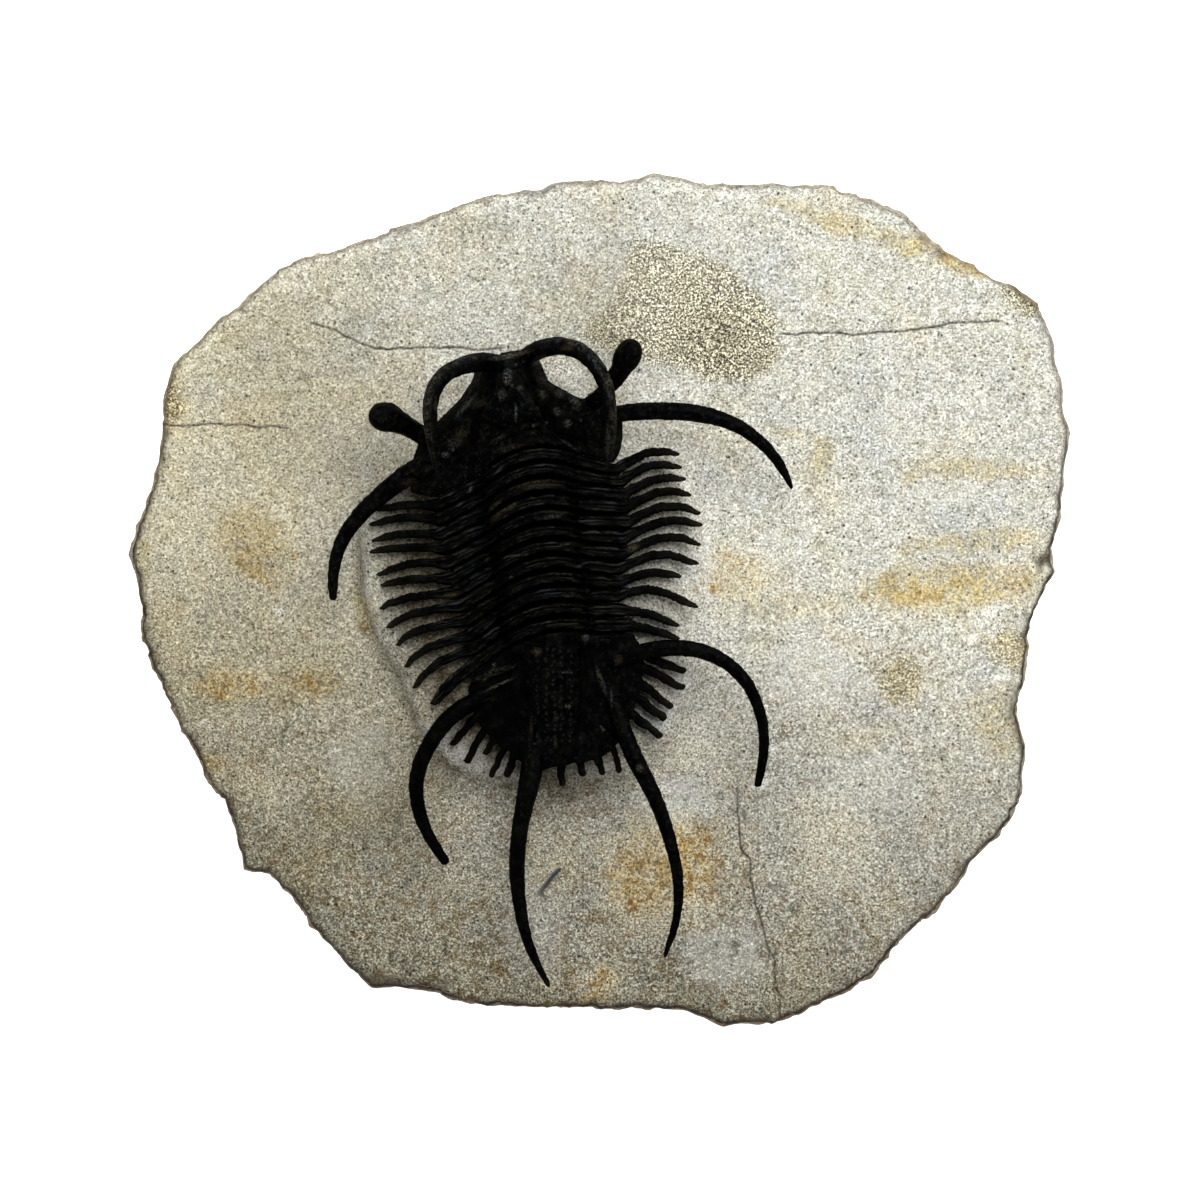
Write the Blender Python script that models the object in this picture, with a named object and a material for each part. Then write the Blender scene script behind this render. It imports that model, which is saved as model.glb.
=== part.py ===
"""A ceratarges trilobite, prepared free of its limestone and lying on the slab it came from.

Frame: metres, +Z up, the origin in the middle of the slab's flat sawn base. The animal's head
points to +Y, its left side to -X. Numbers below are millimetres, and MM turns them to metres.
"""
import math

import bmesh
import bpy
from mathutils import Vector, noise

MM = 0.001

# Driving dimensions
SLAB_THICKNESS = 25.0
PEDESTAL_HEIGHT = 2.0
GAP = 0.3                    # clearance between neighbouring pieces
RING_COUNT = 12
PLEURA_HEIGHT = 2.1          # top of a body ring at its outer end, over the pedestal
FURROW_HEIGHT = 3.1          # top of a body ring beside the axis
AXIS_HEIGHT = 6.4            # top of a body ring over the axis
SPINE_RADIUS_LEFT = 0.46
SPINE_RADIUS_RIGHT = 0.5
LAST_RADIUS_LEFT = 0.62      # the last ring's left spine is stouter
SPINE_TIP = 0.6              # a pleural spine's tip radius, as a share of its root radius

PEDESTAL_TOP = SLAB_THICKNESS + PEDESTAL_HEIGHT
UNDERSIDE = PEDESTAL_TOP + GAP

# The slab's broken edge, seen from above, clockwise from the left of its far side.
SLAB_EDGE = [
    (-10.8, 44.7), (-4.3, 45.9), (1.3, 45.9), (6.3, 46.8), (11.6, 45.7), (18.1, 45.5), (25.2, 45.6),
    (29.0, 44.2), (33.2, 42.6), (36.5, 39.5), (40.9, 36.9), (43.3, 35.3), (45.8, 34.3), (48.3, 32.4),
    (50.0, 28.4), (51.0, 23.4), (51.6, 18.1), (51.0, 13.0), (50.5, 8.5), (49.6, 5.6), (49.8, 3.1),
    (48.3, -0.7), (47.2, -4.0), (47.0, -7.8), (45.7, -11.3), (46.9, -16.3), (46.5, -21.6),
    (43.6, -26.3), (41.1, -28.1), (39.4, -31.0), (36.5, -34.7), (32.0, -38.6), (30.9, -40.5),
    (27.4, -43.1), (19.9, -46.4), (14.2, -46.9), (9.2, -45.0), (-4.2, -44.9), (-14.5, -44.4),
    (-18.3, -42.8), (-24.8, -42.6), (-27.6, -40.1), (-31.3, -35.9), (-36.0, -30.1), (-38.9, -29.9),
    (-40.2, -24.1), (-43.2, -19.5), (-45.5, -14.6), (-48.8, -7.8), (-50.1, -3.0), (-50.5, 1.6),
    (-51.6, 4.9), (-50.0, 9.3), (-48.7, 14.1), (-47.9, 21.7), (-46.7, 26.0), (-42.0, 30.4),
    (-36.9, 34.6), (-33.3, 37.2), (-26.6, 39.2), (-20.4, 41.2), (-16.4, 43.1),
]

LONGEST_CHIP = 5.0           # a longer stretch of the slab's edge is broken in two
CHIP_DEPTH = 0.4
# The slab's walls: height as a share of the thickness, inset from the edge, roughness.
SLAB_LEVELS = [(0.0, 3.4, 0.0), (0.04, 2.2, 1.0), (0.2, 1.0, 2.4), (0.38, 2.2, 2.2),
               (0.46, 0.6, 2.2), (0.64, 1.6, 2.4), (0.8, 0.5, 1.8), (0.93, 0.0, 0.3)]
# The slab's upper face: how far in from the edge to the middle, and its height over the edge.
SLAB_FACE = [(0.012, -0.5), (0.035, -0.1), (0.25, 0.0)]

# The step in the rock round the fossil, clockwise from the head.
PEDESTAL_EDGE = [
    (-22.4, 13.1), (-18.5, 17.5), (-13.0, 21.9), (-4.2, 21.9), (1.3, 19.2), (5.7, 17.6),
    (11.2, 16.2), (12.4, 12.0), (12.5, 3.0), (12.3, -4.5), (11.5, -11.1), (9.6, -15.8),
    (5.1, -20.1), (0.2, -21.3), (-6.4, -21.2), (-13.0, -20.1), (-16.8, -17.9), (-19.4, -14.1),
    (-21.5, -8.4), (-23.2, -5.8), (-24.9, -1.8), (-25.6, 1.4), (-26.0, 7.8), (-25.6, 10.8),
]

# Every body ring, head end first: left spine tip, bend and root, right spine root, bend and tip.
RING_PLACES = [
    ((-24.3, 9.6), (-21.8, 10.3), (-17.9, 10.2), (2.0, 14.2), (5.6, 16.2), (8.8, 15.8)),
    ((-25.0, 8.0), (-21.8, 9.0), (-17.7, 8.6), (2.5, 12.9), (5.6, 14.7), (9.1, 14.4)),
    ((-24.8, 6.4), (-21.5, 7.2), (-17.4, 7.1), (3.0, 11.5), (6.2, 13.2), (9.5, 13.1)),
    ((-25.0, 5.1), (-21.8, 5.7), (-17.1, 5.6), (3.4, 10.1), (6.9, 11.9), (10.1, 11.3)),
    ((-24.2, 2.5), (-21.0, 3.9), (-16.6, 3.9), (3.4, 8.5), (7.6, 10.3), (11.1, 9.3)),
    ((-23.8, 1.4), (-21.4, 2.1), (-16.4, 2.3), (3.1, 6.8), (7.6, 8.7), (11.3, 8.0)),
    ((-23.8, -1.2), (-21.5, 0.1), (-15.7, 0.7), (2.7, 4.9), (7.3, 6.9), (11.1, 5.9)),
    ((-23.1, -3.3), (-20.6, -1.6), (-15.1, -0.8), (2.3, 3.3), (6.8, 5.0), (10.9, 3.7)),
    ((-22.0, -5.1), (-19.9, -3.4), (-14.6, -2.4), (2.3, 1.8), (5.9, 3.0), (9.0, 2.4)),
    ((-21.1, -7.5), (-19.0, -5.4), (-14.1, -4.0), (2.2, 0.4), (6.2, 1.1), (10.8, -1.0)),
    ((-20.2, -9.9), (-18.0, -7.2), (-13.8, -5.5), (2.4, -1.1), (5.6, -1.6), (8.8, -3.0)),
    ((-18.2, -11.6), (-16.4, -9.4), (-13.6, -7.1), (3.3, -2.8), (6.1, -3.4), (8.8, -4.4)),
]
# The axis of the body at the first and the last ring: left furrow, crest and right furrow.
AXIS_FIRST = ((-13.0, 12.7), (-7.8, 15.7), (-2.4, 15.2))
AXIS_LAST = ((-10.6, -4.9), (-5.7, -2.8), (-0.9, -2.9))
AXIS_STEPS = (-1.0, -0.7, -0.35, 0.0, 0.35, 0.7, 1.0)

# Rows of the head shield from its rear corners to its front: left, middle and right in plan,
# height over the glabella and over the cheeks, and the glabella's share of the row's width.
HEAD_CORNERS = ((-20.5, 11.8), (2.4, 16.4))
HEAD_ROWS = [
    ((-20.5, 14.6), (-7.6, 18.6), (2.6, 17.6), 6.6, 3.2, 0.42),
    ((-19.5, 17.6), (-7.7, 20.6), (2.6, 19.6), 7.2, 3.6, 0.42),
    ((-17.2, 19.9), (-7.9, 22.0), (2.0, 20.8), 7.4, 3.8, 0.46),
    ((-15.2, 21.9), (-8.5, 23.6), (-1.6, 21.7), 7.2, 3.6, 0.55),
    ((-13.8, 24.0), (-9.4, 24.9), (-5.4, 23.8), 6.6, 3.2, 0.8),
    ((-13.4, 25.6), (-9.6, 27.0), (-6.8, 26.9), 4.6, 2.8, 0.9),
]

# Rows of the tail shield from its front to its rear edge, given in the same way.
TAIL_ROWS = [
    ((-14.2, -9.8), (-5.4, -7.2), (4.8, -6.2), 5.6, 2.9, 0.3),
    ((-13.9, -11.9), (-5.2, -9.8), (4.7, -9.0), 4.9, 2.7, 0.3),
    ((-12.8, -13.9), (-5.0, -12.4), (3.9, -11.8), 4.3, 2.5, 0.32),
    ((-11.1, -15.7), (-4.7, -14.9), (3.0, -14.2), 3.6, 2.3, 0.35),
    ((-9.2, -17.0), (-4.6, -16.9), (1.9, -16.0), 2.9, 2.0, 0.4),
    ((-7.4, -18.9), (-3.9, -18.0), (-0.2, -17.4), 2.1, 1.5, 0.5),
]

# Long spines, horns and eye stalks: points of x, y, z and radius, from inside the shield outwards.
HEAD_LIMBS = {
    "left horn": [
        (-10.2, 25.6, 30.6, 1.0), (-12.6, 25.7, 34.0, 1.06), (-15.0, 25.1, 36.5, 0.93),
        (-17.0, 23.7, 38.4, 0.87), (-18.0, 21.3, 39.2, 0.82), (-18.0, 18.6, 39.0, 0.74),
        (-17.6, 15.6, 37.9, 0.53), (-17.0, 12.4, 36.2, 0.25)],
    "right horn": [
        (-9.0, 25.7, 30.6, 1.0), (-6.3, 27.1, 34.0, 1.0), (-3.6, 27.3, 36.5, 0.96),
        (-1.2, 26.1, 38.4, 0.88), (0.5, 23.7, 39.3, 0.81), (1.2, 20.9, 39.3, 0.71),
        (1.3, 17.6, 38.2, 0.53), (0.9, 14.3, 36.2, 0.27)],
    "left eye": [
        (-17.6, 17.0, 28.9, 1.1), (-20.6, 18.7, 32.2, 1.02), (-21.8, 19.3, 34.0, 1.28),
        (-22.9, 19.7, 35.3, 1.58), (-23.8, 19.85, 36.3, 1.3), (-24.25, 19.95, 36.8, 0.55)],
    "right eye": [
        (-2.2, 20.6, 28.9, 0.72), (0.9, 22.9, 32.2, 0.85), (2.4, 24.9, 34.6, 1.1),
        (3.15, 26.3, 36.1, 1.42), (3.6, 27.1, 37.0, 1.15), (3.8, 27.4, 37.5, 0.5)],
    "left genal spine": [
        (-17.6, 15.4, 29.0, 1.3), (-21.2, 13.3, 29.8, 1.15), (-23.8, 11.3, 29.9, 0.98),
        (-26.4, 8.8, 29.5, 0.86), (-28.2, 6.0, 29.0, 0.73), (-29.0, 2.7, 28.5, 0.6),
        (-29.0, -0.1, 28.2, 0.43)],
    "right genal spine": [
        (-0.6, 19.9, 29.2, 0.95), (4.5, 20.5, 30.2, 0.92), (7.8, 20.5, 30.7, 0.96),
        (11.1, 20.2, 30.8, 0.92), (14.3, 19.3, 30.5, 0.78), (17.3, 17.5, 30.0, 0.66),
        (19.7, 14.9, 29.3, 0.54), (21.2, 12.1, 28.5, 0.25)],
}
TAIL_LIMBS = {
    "left outer spine": [
        (-12.0, -10.3, 28.9, 1.0), (-15.9, -12.6, 29.5, 0.93), (-18.2, -15.4, 29.6, 0.88),
        (-19.8, -19.2, 29.4, 0.81), (-19.7, -22.6, 29.1, 0.74), (-18.6, -25.7, 28.7, 0.62),
        (-16.6, -28.9, 28.3, 0.5)],
    "left inner spine": [
        (-6.9, -14.6, 29.0, 1.2), (-7.4, -19.2, 29.8, 1.18), (-8.4, -24.0, 30.0, 0.9),
        (-8.9, -28.8, 29.6, 0.84), (-8.6, -33.4, 29.1, 0.72), (-7.6, -37.8, 28.5, 0.53),
        (-5.4, -42.4, 27.8, 0.24)],
    "right inner spine": [
        (1.5, -10.8, 28.9, 1.0), (3.5, -16.4, 29.8, 0.98), (6.0, -21.3, 30.0, 0.84),
        (7.8, -26.3, 29.7, 0.67), (8.7, -31.0, 29.2, 0.56), (8.5, -35.0, 28.7, 0.43),
        (7.2, -39.2, 28.0, 0.24)],
    "right outer spine": [
        (1.2, -6.9, 28.8, 0.95), (5.4, -5.6, 29.5, 0.9), (9.2, -5.3, 29.8, 0.86),
        (12.7, -6.2, 29.8, 0.78), (15.6, -8.4, 29.6, 0.69), (17.5, -11.9, 29.2, 0.6),
        (18.1, -16.0, 28.7, 0.54), (17.4, -20.5, 28.3, 0.41)],
}

# Short marginal spines of the tail shield: root and tip in plan.
MARGINAL_SPINES = [
    ((-13.2, -12.6), (-16.0, -15.9)), ((-12.0, -13.4), (-14.5, -17.9)),
    ((-11.0, -14.3), (-12.3, -16.9)), ((-10.0, -15.4), (-11.7, -19.3)),
    ((-8.9, -16.0), (-10.1, -19.4)), ((-4.2, -16.9), (-4.0, -20.3)),
    ((-2.4, -16.6), (-1.7, -19.2)), ((-0.6, -15.8), (0.5, -19.2)),
    ((1.3, -15.3), (2.4, -18.8)), ((2.6, -11.7), (6.8, -15.1)),
    ((3.2, -10.0), (7.2, -13.0)), ((3.6, -8.4), (8.0, -11.8)),
    ((3.9, -6.9), (9.3, -9.7)), ((4.0, -5.7), (9.4, -7.9)),
]
MARGINAL_RADIUS = 0.42
MARGINAL_TIP_RADIUS = 0.27
RIGHT_SIDE = 2.5             # past this x the marginal spines are stouter
RIGHT_RADIUS_SHARE = 1.15


def clear_scene():
    for old in list(bpy.data.objects):
        bpy.data.objects.remove(old, do_unlink=True)


def new_collection(name, hidden=False):
    collection = bpy.data.collections.new(name)
    bpy.context.scene.collection.children.link(collection)
    collection.hide_render = hidden
    return collection


def surface(name, colour, roughness):
    """A plain stone finish."""
    material = bpy.data.materials.new(name)
    material.use_nodes = True
    shader = material.node_tree.nodes["Principled BSDF"]
    shader.inputs["Base Color"].default_value = (*colour, 1.0)
    shader.inputs["Roughness"].default_value = roughness
    shader.inputs["Metallic"].default_value = 0.0
    return material


def add_object(name, mesh, collection):
    thing = bpy.data.objects.new(name, mesh)
    collection.objects.link(thing)
    return thing


def solid_from_faces(name, collection, points, faces):
    """A closed solid from points in millimetres and the faces that join them."""
    bm = bmesh.new()
    corners = [bm.verts.new(Vector(point) * MM) for point in points]
    for face in faces:
        bm.faces.new([corners[index] for index in face])
    bmesh.ops.triangulate(bm, faces=bm.faces[:])
    bmesh.ops.recalc_face_normals(bm, faces=bm.faces[:])
    mesh = bpy.data.meshes.new(name)
    bm.to_mesh(mesh)
    bm.free()
    return add_object(name, mesh, collection)


def loft(name, collection, sections, peak=None):
    """A solid through closed sections that all have the same number of points.

    The first section closes with a flat face. The last does too, or runs up to one peak point."""
    size = len(sections[0])
    points = [point for section in sections for point in section]
    faces = [tuple(reversed(range(size)))]
    for level in range(len(sections) - 1):
        base = level * size
        for here in range(size):
            after = (here + 1) % size
            faces.append((base + here, base + after, base + size + after, base + size + here))
    last = (len(sections) - 1) * size
    if peak is None:
        faces.append(tuple(range(last, last + size)))
    else:
        points.append(peak)
        faces += [(last + here, last + (here + 1) % size, len(points) - 1) for here in range(size)]
    return solid_from_faces(name, collection, points, faces)


def shield(name, collection, rows):
    """A plate with a level underside, from rows of upper points that run from left to right."""
    width = len(rows[0])
    count = width * len(rows)
    points = [point for row in rows for point in row]
    points += [(x, y, UNDERSIDE) for x, y, z in points]
    faces = []
    for row in range(len(rows) - 1):
        for step in range(width - 1):
            corner = row * width + step
            top = (corner, corner + 1, corner + width + 1, corner + width)
            faces.append(top)
            faces.append(tuple(count + index for index in reversed(top)))
    rim = list(range(width))
    rim += [row * width + width - 1 for row in range(1, len(rows))]
    rim += [(len(rows) - 1) * width + step for step in reversed(range(width - 1))]
    rim += [row * width for row in reversed(range(1, len(rows) - 1))]
    for here, after in zip(rim, rim[1:] + rim[:1]):
        faces.append((after, here, count + here, count + after))
    return solid_from_faces(name, collection, points, faces)


def tapered(name, collection, points, sides_step=2, steps=3):
    """A round spine as a mesh, from points of x, y, z and radius on one smooth curve."""
    data = bpy.data.curves.new(name, "CURVE")
    data.dimensions = "3D"
    data.bevel_depth = MM
    data.bevel_resolution = sides_step
    data.use_fill_caps = True
    spline = data.splines.new("BEZIER")
    spline.resolution_u = steps
    spline.bezier_points.add(len(points) - 1)
    for knot, (x, y, z, radius) in zip(spline.bezier_points, points):
        knot.co = Vector((x, y, z)) * MM
        knot.radius = radius
        knot.handle_left_type = knot.handle_right_type = "AUTO"
    curve = add_object(name, data, collection)
    graph = bpy.context.evaluated_depsgraph_get()
    mesh = bpy.data.meshes.new_from_object(curve.evaluated_get(graph))
    bm = bmesh.new()
    bm.from_mesh(mesh)
    bmesh.ops.remove_doubles(bm, verts=bm.verts[:], dist=0.001 * MM)
    bmesh.ops.recalc_face_normals(bm, faces=bm.faces[:])
    bm.to_mesh(mesh)
    bm.free()
    spine = add_object(name + " solid", mesh, collection)
    spine.matrix_world = curve.matrix_world.copy()
    bpy.data.objects.remove(curve, do_unlink=True)
    return spine


def fuse(base, additions):
    """Joins every solid of a collection to the base with one Boolean union."""
    for addition in additions.objects:
        addition.hide_render = True
        addition.display_type = "WIRE"
    union = base.modifiers.new("union", "BOOLEAN")
    union.operation = "UNION"
    union.solver = "EXACT"
    union.operand_type = "COLLECTION"
    union.collection = additions


def mix(first, last, share):
    return tuple(a + (b - a) * share for a, b in zip(first, last))


def through(start, middle, end, share):
    """A point on the parabola from start, through middle at the half, to end."""
    lift = tuple(2 * b - (a + c) / 2 for a, b, c in zip(start, middle, end))
    return mix(mix(start, lift, share), mix(lift, end, share), share)


def broken_edge():
    """The slab's edge with its long stretches chipped."""
    edge = []
    for (x, y), after in zip(SLAB_EDGE, SLAB_EDGE[1:] + SLAB_EDGE[:1]):
        edge.append((x, y))
        span = math.dist((x, y), after)
        cuts = int(span / LONGEST_CHIP)
        for cut in range(1, cuts + 1):
            px, py = mix((x, y), after, cut / (cuts + 1))
            depth = CHIP_DEPTH * (0.5 + noise.noise(Vector((px * 0.6, py * 0.6, 7.0))))
            reach = 1 - depth / math.hypot(px, py)
            edge.append((px * reach, py * reach))
    return edge


def slab_section(edge, level):
    """The slab's outline at one level: inset from its edge and roughened."""
    share, inset, rough = level
    height = share * SLAB_THICKNESS
    section = []
    for x, y in edge:
        reach = math.hypot(x, y)
        bump = noise.fractal(Vector((x * 0.2, y * 0.2, height * 0.25)), 0.8, 2.1, 3) * rough
        shrink = (reach - inset - abs(bump)) / reach
        section.append((x * shrink, y * shrink, height))
    return section


def face_height(x, y):
    """The gentle swell of the slab's upper face."""
    return 0.35 * noise.noise(Vector((x * 0.05, y * 0.05, 3.0)))


def build_slab(collection):
    edge = broken_edge()
    sections = [slab_section(edge, level) for level in SLAB_LEVELS]
    for inward, drop in SLAB_FACE:
        sections.append([(x * (1 - inward), y * (1 - inward),
                          SLAB_THICKNESS + drop + face_height(x * (1 - inward), y * (1 - inward)))
                         for x, y in edge])
    slab = loft("matrix_slab", collection, sections, (0.0, 0.0, SLAB_THICKNESS + face_height(0, 0)))
    middle_x = sum(x for x, y in PEDESTAL_EDGE) / len(PEDESTAL_EDGE)
    middle_y = sum(y for x, y in PEDESTAL_EDGE) / len(PEDESTAL_EDGE)
    steps = []
    for spread, height in ((1.07, -2.0), (1.03, 0.35), (1.0, 0.75 * PEDESTAL_HEIGHT),
                           (0.975, PEDESTAL_HEIGHT)):
        steps.append([(middle_x + (x - middle_x) * spread, middle_y + (y - middle_y) * spread,
                       SLAB_THICKNESS + height) for x, y in PEDESTAL_EDGE])
    raised = new_collection("raised rock", hidden=True)
    loft("pedestal", raised, steps)
    fuse(slab, raised)
    return slab


def ring_line(index):
    """A ring's middle line in plan, from its left root over the axis to its right root."""
    share = index / (RING_COUNT - 1)
    left, crest, right = (mix(a, b, share) for a, b in zip(AXIS_FIRST, AXIS_LAST))
    inside = min(max(index, 0), RING_COUNT - 1)
    step = index - inside
    neighbour = inside - step
    root_left = mix(RING_PLACES[inside][2], RING_PLACES[neighbour][2], -abs(step))
    root_right = mix(RING_PLACES[inside][3], RING_PLACES[neighbour][3], -abs(step))
    axis = [through(left, crest, right, (step + 1) / 2) for step in AXIS_STEPS]
    return [root_left, mix(root_left, left, 0.5), *axis, mix(root_right, right, 0.5), root_right]


def seam(index, offset):
    """The line between two rings, moved towards the ring behind by an offset."""
    line = []
    for ahead, behind in zip(ring_line(index - 1), ring_line(index)):
        span = math.dist(ahead, behind)
        line.append(mix(ahead, behind, 0.5 + offset / span))
    return line


def ring_heights():
    """The top of a ring over the pedestal at each point of its middle line."""
    dome = [FURROW_HEIGHT + (AXIS_HEIGHT - FURROW_HEIGHT) * (1 - step * step) ** 0.6
            for step in AXIS_STEPS]
    flank = (PLEURA_HEIGHT + FURROW_HEIGHT) / 2 + 0.35
    return [PLEURA_HEIGHT, flank, *dome, flank, PLEURA_HEIGHT]


def ring_section(front, rear, low, high, roundness):
    """Six corners round a ring: square below over the body, round on the spines."""
    shoulder = low + (high - low) * (0.68 - 0.18 * roundness)
    tuck = 0.25 * roundness
    return [(*mix(front, rear, tuck), low), (*front, shoulder), (*mix(front, rear, 0.27), high),
            (*mix(front, rear, 0.73), high), (*rear, shoulder), (*mix(rear, front, tuck), low)]


def spine_sections(root, bend, tip, radius, ahead):
    """Sections of a pleural spine from its root out to its tip, curving down to the rock."""
    sections = []
    for share in (0.12, 0.42, 0.75, 1.0):
        place = through(root, bend, tip, share)
        before = through(root, bend, tip, share - 0.1)
        run = (place[0] - before[0], place[1] - before[1])
        size = math.hypot(*run)
        across = (-run[1] / size * ahead, run[0] / size * ahead)
        half = radius * (1 - (1 - SPINE_TIP) * share ** 4)
        level = PEDESTAL_TOP + 1.25 - 0.5 * share
        front = (place[0] + across[0] * half, place[1] + across[1] * half)
        rear = (place[0] - across[0] * half, place[1] - across[1] * half)
        sections.append(ring_section(front, rear, level - half, level + half, 1.0))
    return sections


def build_ring(index, collection):
    tip_left, bend_left, root_left, root_right, bend_right, tip_right = RING_PLACES[index]
    front = seam(index, GAP / 2)
    rear = seam(index + 1, -GAP / 2)
    radius = LAST_RADIUS_LEFT if index == RING_COUNT - 1 else SPINE_RADIUS_LEFT
    sections = spine_sections(root_left, bend_left, tip_left, radius, -1)[::-1]
    for ahead, behind, height in zip(front, rear, ring_heights()):
        sections.append(ring_section(ahead, behind, UNDERSIDE, PEDESTAL_TOP + height, 0.0))
    sections += spine_sections(root_right, bend_right, tip_right, SPINE_RADIUS_RIGHT, 1)
    return loft(f"thoracic_segment_{index + 1:02d}", collection, sections)


def shield_row(left, middle, right, spread, crest, flank, core):
    """One row of a shield: places on a parabola, a high axis between lower flanks."""
    row = []
    for share in spread:
        x, y = through(left, middle, right, share)
        side = 2 * share - 1
        rise = flank * math.sqrt(max(0.0, 1 - side ** 4))
        rise += (crest - flank) * math.exp(-((side / core) ** 2) * 1.2)
        row.append((x, y, PEDESTAL_TOP + max(rise, 1.3)))
    return row


def build_shield(name, collection, line, row_table, corners=None):
    """A shield whose first row meets the body rings, widened to its own corners where it has them."""
    first = [(x, y, PEDESTAL_TOP + height) for (x, y), height in zip(line, ring_heights())]
    if corners:
        left, right = corners
        first = [(*left, PEDESTAL_TOP + 1.4), *first, (*right, PEDESTAL_TOP + 1.4)]
    width = first[-1][0] - first[0][0]
    spread = [(point[0] - first[0][0]) / width for point in first]
    rows = [shield_row(left, middle, right, spread, crest, flank, core)
            for left, middle, right, crest, flank, core in row_table]
    return shield(name, collection, [first, *rows])


def build_head(collection):
    head = build_shield("cephalon", collection, seam(0, -GAP / 2), HEAD_ROWS, HEAD_CORNERS)
    limbs = new_collection("head limbs", hidden=True)
    for name, points in HEAD_LIMBS.items():
        tapered(name, limbs, points)
    fuse(head, limbs)
    return head


def build_tail(collection):
    tail = build_shield("pygidium", collection, seam(RING_COUNT, GAP / 2), TAIL_ROWS)
    limbs = new_collection("tail limbs", hidden=True)
    for name, points in TAIL_LIMBS.items():
        tapered(name, limbs, points)
    for number, (root, tip) in enumerate(MARGINAL_SPINES):
        level = UNDERSIDE + MARGINAL_RADIUS + 0.15
        radius = MARGINAL_RADIUS * (RIGHT_RADIUS_SHARE if root[0] > RIGHT_SIDE else 1)
        points = [(*root, level + 0.5, radius), (*mix(root, tip, 0.6), level, radius * 0.85),
                  (*tip, level - 0.1, MARGINAL_TIP_RADIUS)]
        tapered(f"marginal spine {number}", limbs, points, 1, 1)
    fuse(tail, limbs)
    return tail


def main():
    clear_scene()
    fossil = new_collection("ceratarges_trilobite_fossil")
    limestone = surface("limestone", (0.56, 0.53, 0.45), 0.9)
    black_calcite = surface("black_calcite", (0.012, 0.012, 0.011), 0.45)
    slab = build_slab(fossil)
    slab.data.materials.append(limestone)
    plates = [build_head(fossil)]
    plates += [build_ring(index, fossil) for index in range(RING_COUNT)]
    plates.append(build_tail(fossil))
    for plate in plates:
        plate.data.materials.clear()
        plate.data.materials.append(black_calcite)
        plate.data.shade_smooth()
        plate.data.set_sharp_from_angle(angle=math.radians(50))


main()
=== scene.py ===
"""The looks of a ceratarges trilobite, prepared free on its slab of limestone.

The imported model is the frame: metres, +Z up, the animal's head towards +Y and the origin in the
middle of the slab's sawn base. Places and sizes below are millimetres unless a comment says otherwise.
"""
import math
import random

import bpy
import numpy as np
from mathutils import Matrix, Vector, kdtree, noise


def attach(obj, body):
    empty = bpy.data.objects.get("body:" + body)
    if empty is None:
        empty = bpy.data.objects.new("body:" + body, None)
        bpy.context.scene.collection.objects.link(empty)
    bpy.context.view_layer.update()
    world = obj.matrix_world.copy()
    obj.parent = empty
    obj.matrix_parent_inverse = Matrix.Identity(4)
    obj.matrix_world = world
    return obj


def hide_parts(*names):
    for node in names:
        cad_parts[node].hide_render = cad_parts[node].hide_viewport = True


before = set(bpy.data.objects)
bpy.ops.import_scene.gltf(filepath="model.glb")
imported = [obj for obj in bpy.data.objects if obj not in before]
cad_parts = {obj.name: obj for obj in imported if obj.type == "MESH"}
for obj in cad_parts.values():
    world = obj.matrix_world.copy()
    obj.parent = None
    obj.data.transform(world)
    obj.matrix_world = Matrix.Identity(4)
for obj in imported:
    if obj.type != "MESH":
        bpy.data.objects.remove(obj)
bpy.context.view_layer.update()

# The camera hangs straight over the fossil, as in the photograph, and looks down on the slab's
# upper face. Its frame is 132 mm wide there, so one of the photograph's pixels is 0.11 mm.
MM = 0.001
SLAB_FACE = 25.0
FRAME_WIDTH = 132.0
CAMERA_HEIGHT = 600.0
CAMERA_SENSOR = 36.0
CAMERA_SIGHT = 10000.0
VIEW_CENTRE = (0.165, -0.055)

camera = bpy.data.objects.new("overhead_camera", bpy.data.cameras.new("overhead_camera"))
bpy.context.scene.collection.objects.link(camera)
camera.data.sensor_width = CAMERA_SENSOR
camera.data.lens = CAMERA_SENSOR * CAMERA_HEIGHT / FRAME_WIDTH
camera.data.clip_end = CAMERA_SIGHT * MM
camera.location = Vector((*VIEW_CENTRE, SLAB_FACE + CAMERA_HEIGHT)) * MM
bpy.context.scene.camera = camera


# The matrix slab: a broken piece of fine-grained Devonian limestone. Its base was sawn flat, its
# edge was left as it broke, and its upper face was ground down round the fossil with air
# abrasives, which leave a fine sandpaper surface and a low pedestal under the animal.
SLAB_VOXEL = 0.49
CRACK_REACH = 0.9
CRACK_WIDTH = 0.11
CRACK_DEPTH = 0.16
CRACKS = [
    [(-31.6, 30.4), (-28.8, 29.6), (-26.8, 28.4), (-24.6, 27.6), (-21.7, 27.6), (-19.0, 27.7),
     (-15.3, 27.7), (-13.4, 27.4), (-10.8, 27.6)],
    [(-48.1, 19.3), (-45.6, 19.1), (-42.8, 19.3), (-39.2, 19.2), (-37.3, 18.9), (-35.3, 19.1),
     (-34.2, 18.8)],
    [(20.3, 29.3), (21.6, 29.1), (23.9, 29.4), (26.7, 29.3), (28.2, 29.1), (30.7, 29.4), (33.7, 29.5),
     (37.0, 30.0), (39.5, 30.5), (44.1, 30.6)],
    [(15.3, -20.7), (15.3, -23.5), (15.5, -25.7), (15.5, -27.3), (16.6, -28.5), (16.8, -30.7),
     (17.3, -33.8), (18.2, -36.4), (18.5, -38.0), (19.4, -39.8), (19.4, -42.5), (20.0, -43.6),
     (20.0, -46.4)],
]
SCRATCH = [(-6.9, -32.7), (-5.9, -31.6), (-5.2, -30.6), (-4.3, -29.7)]
SCRATCH_WIDTH = 0.19
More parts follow.
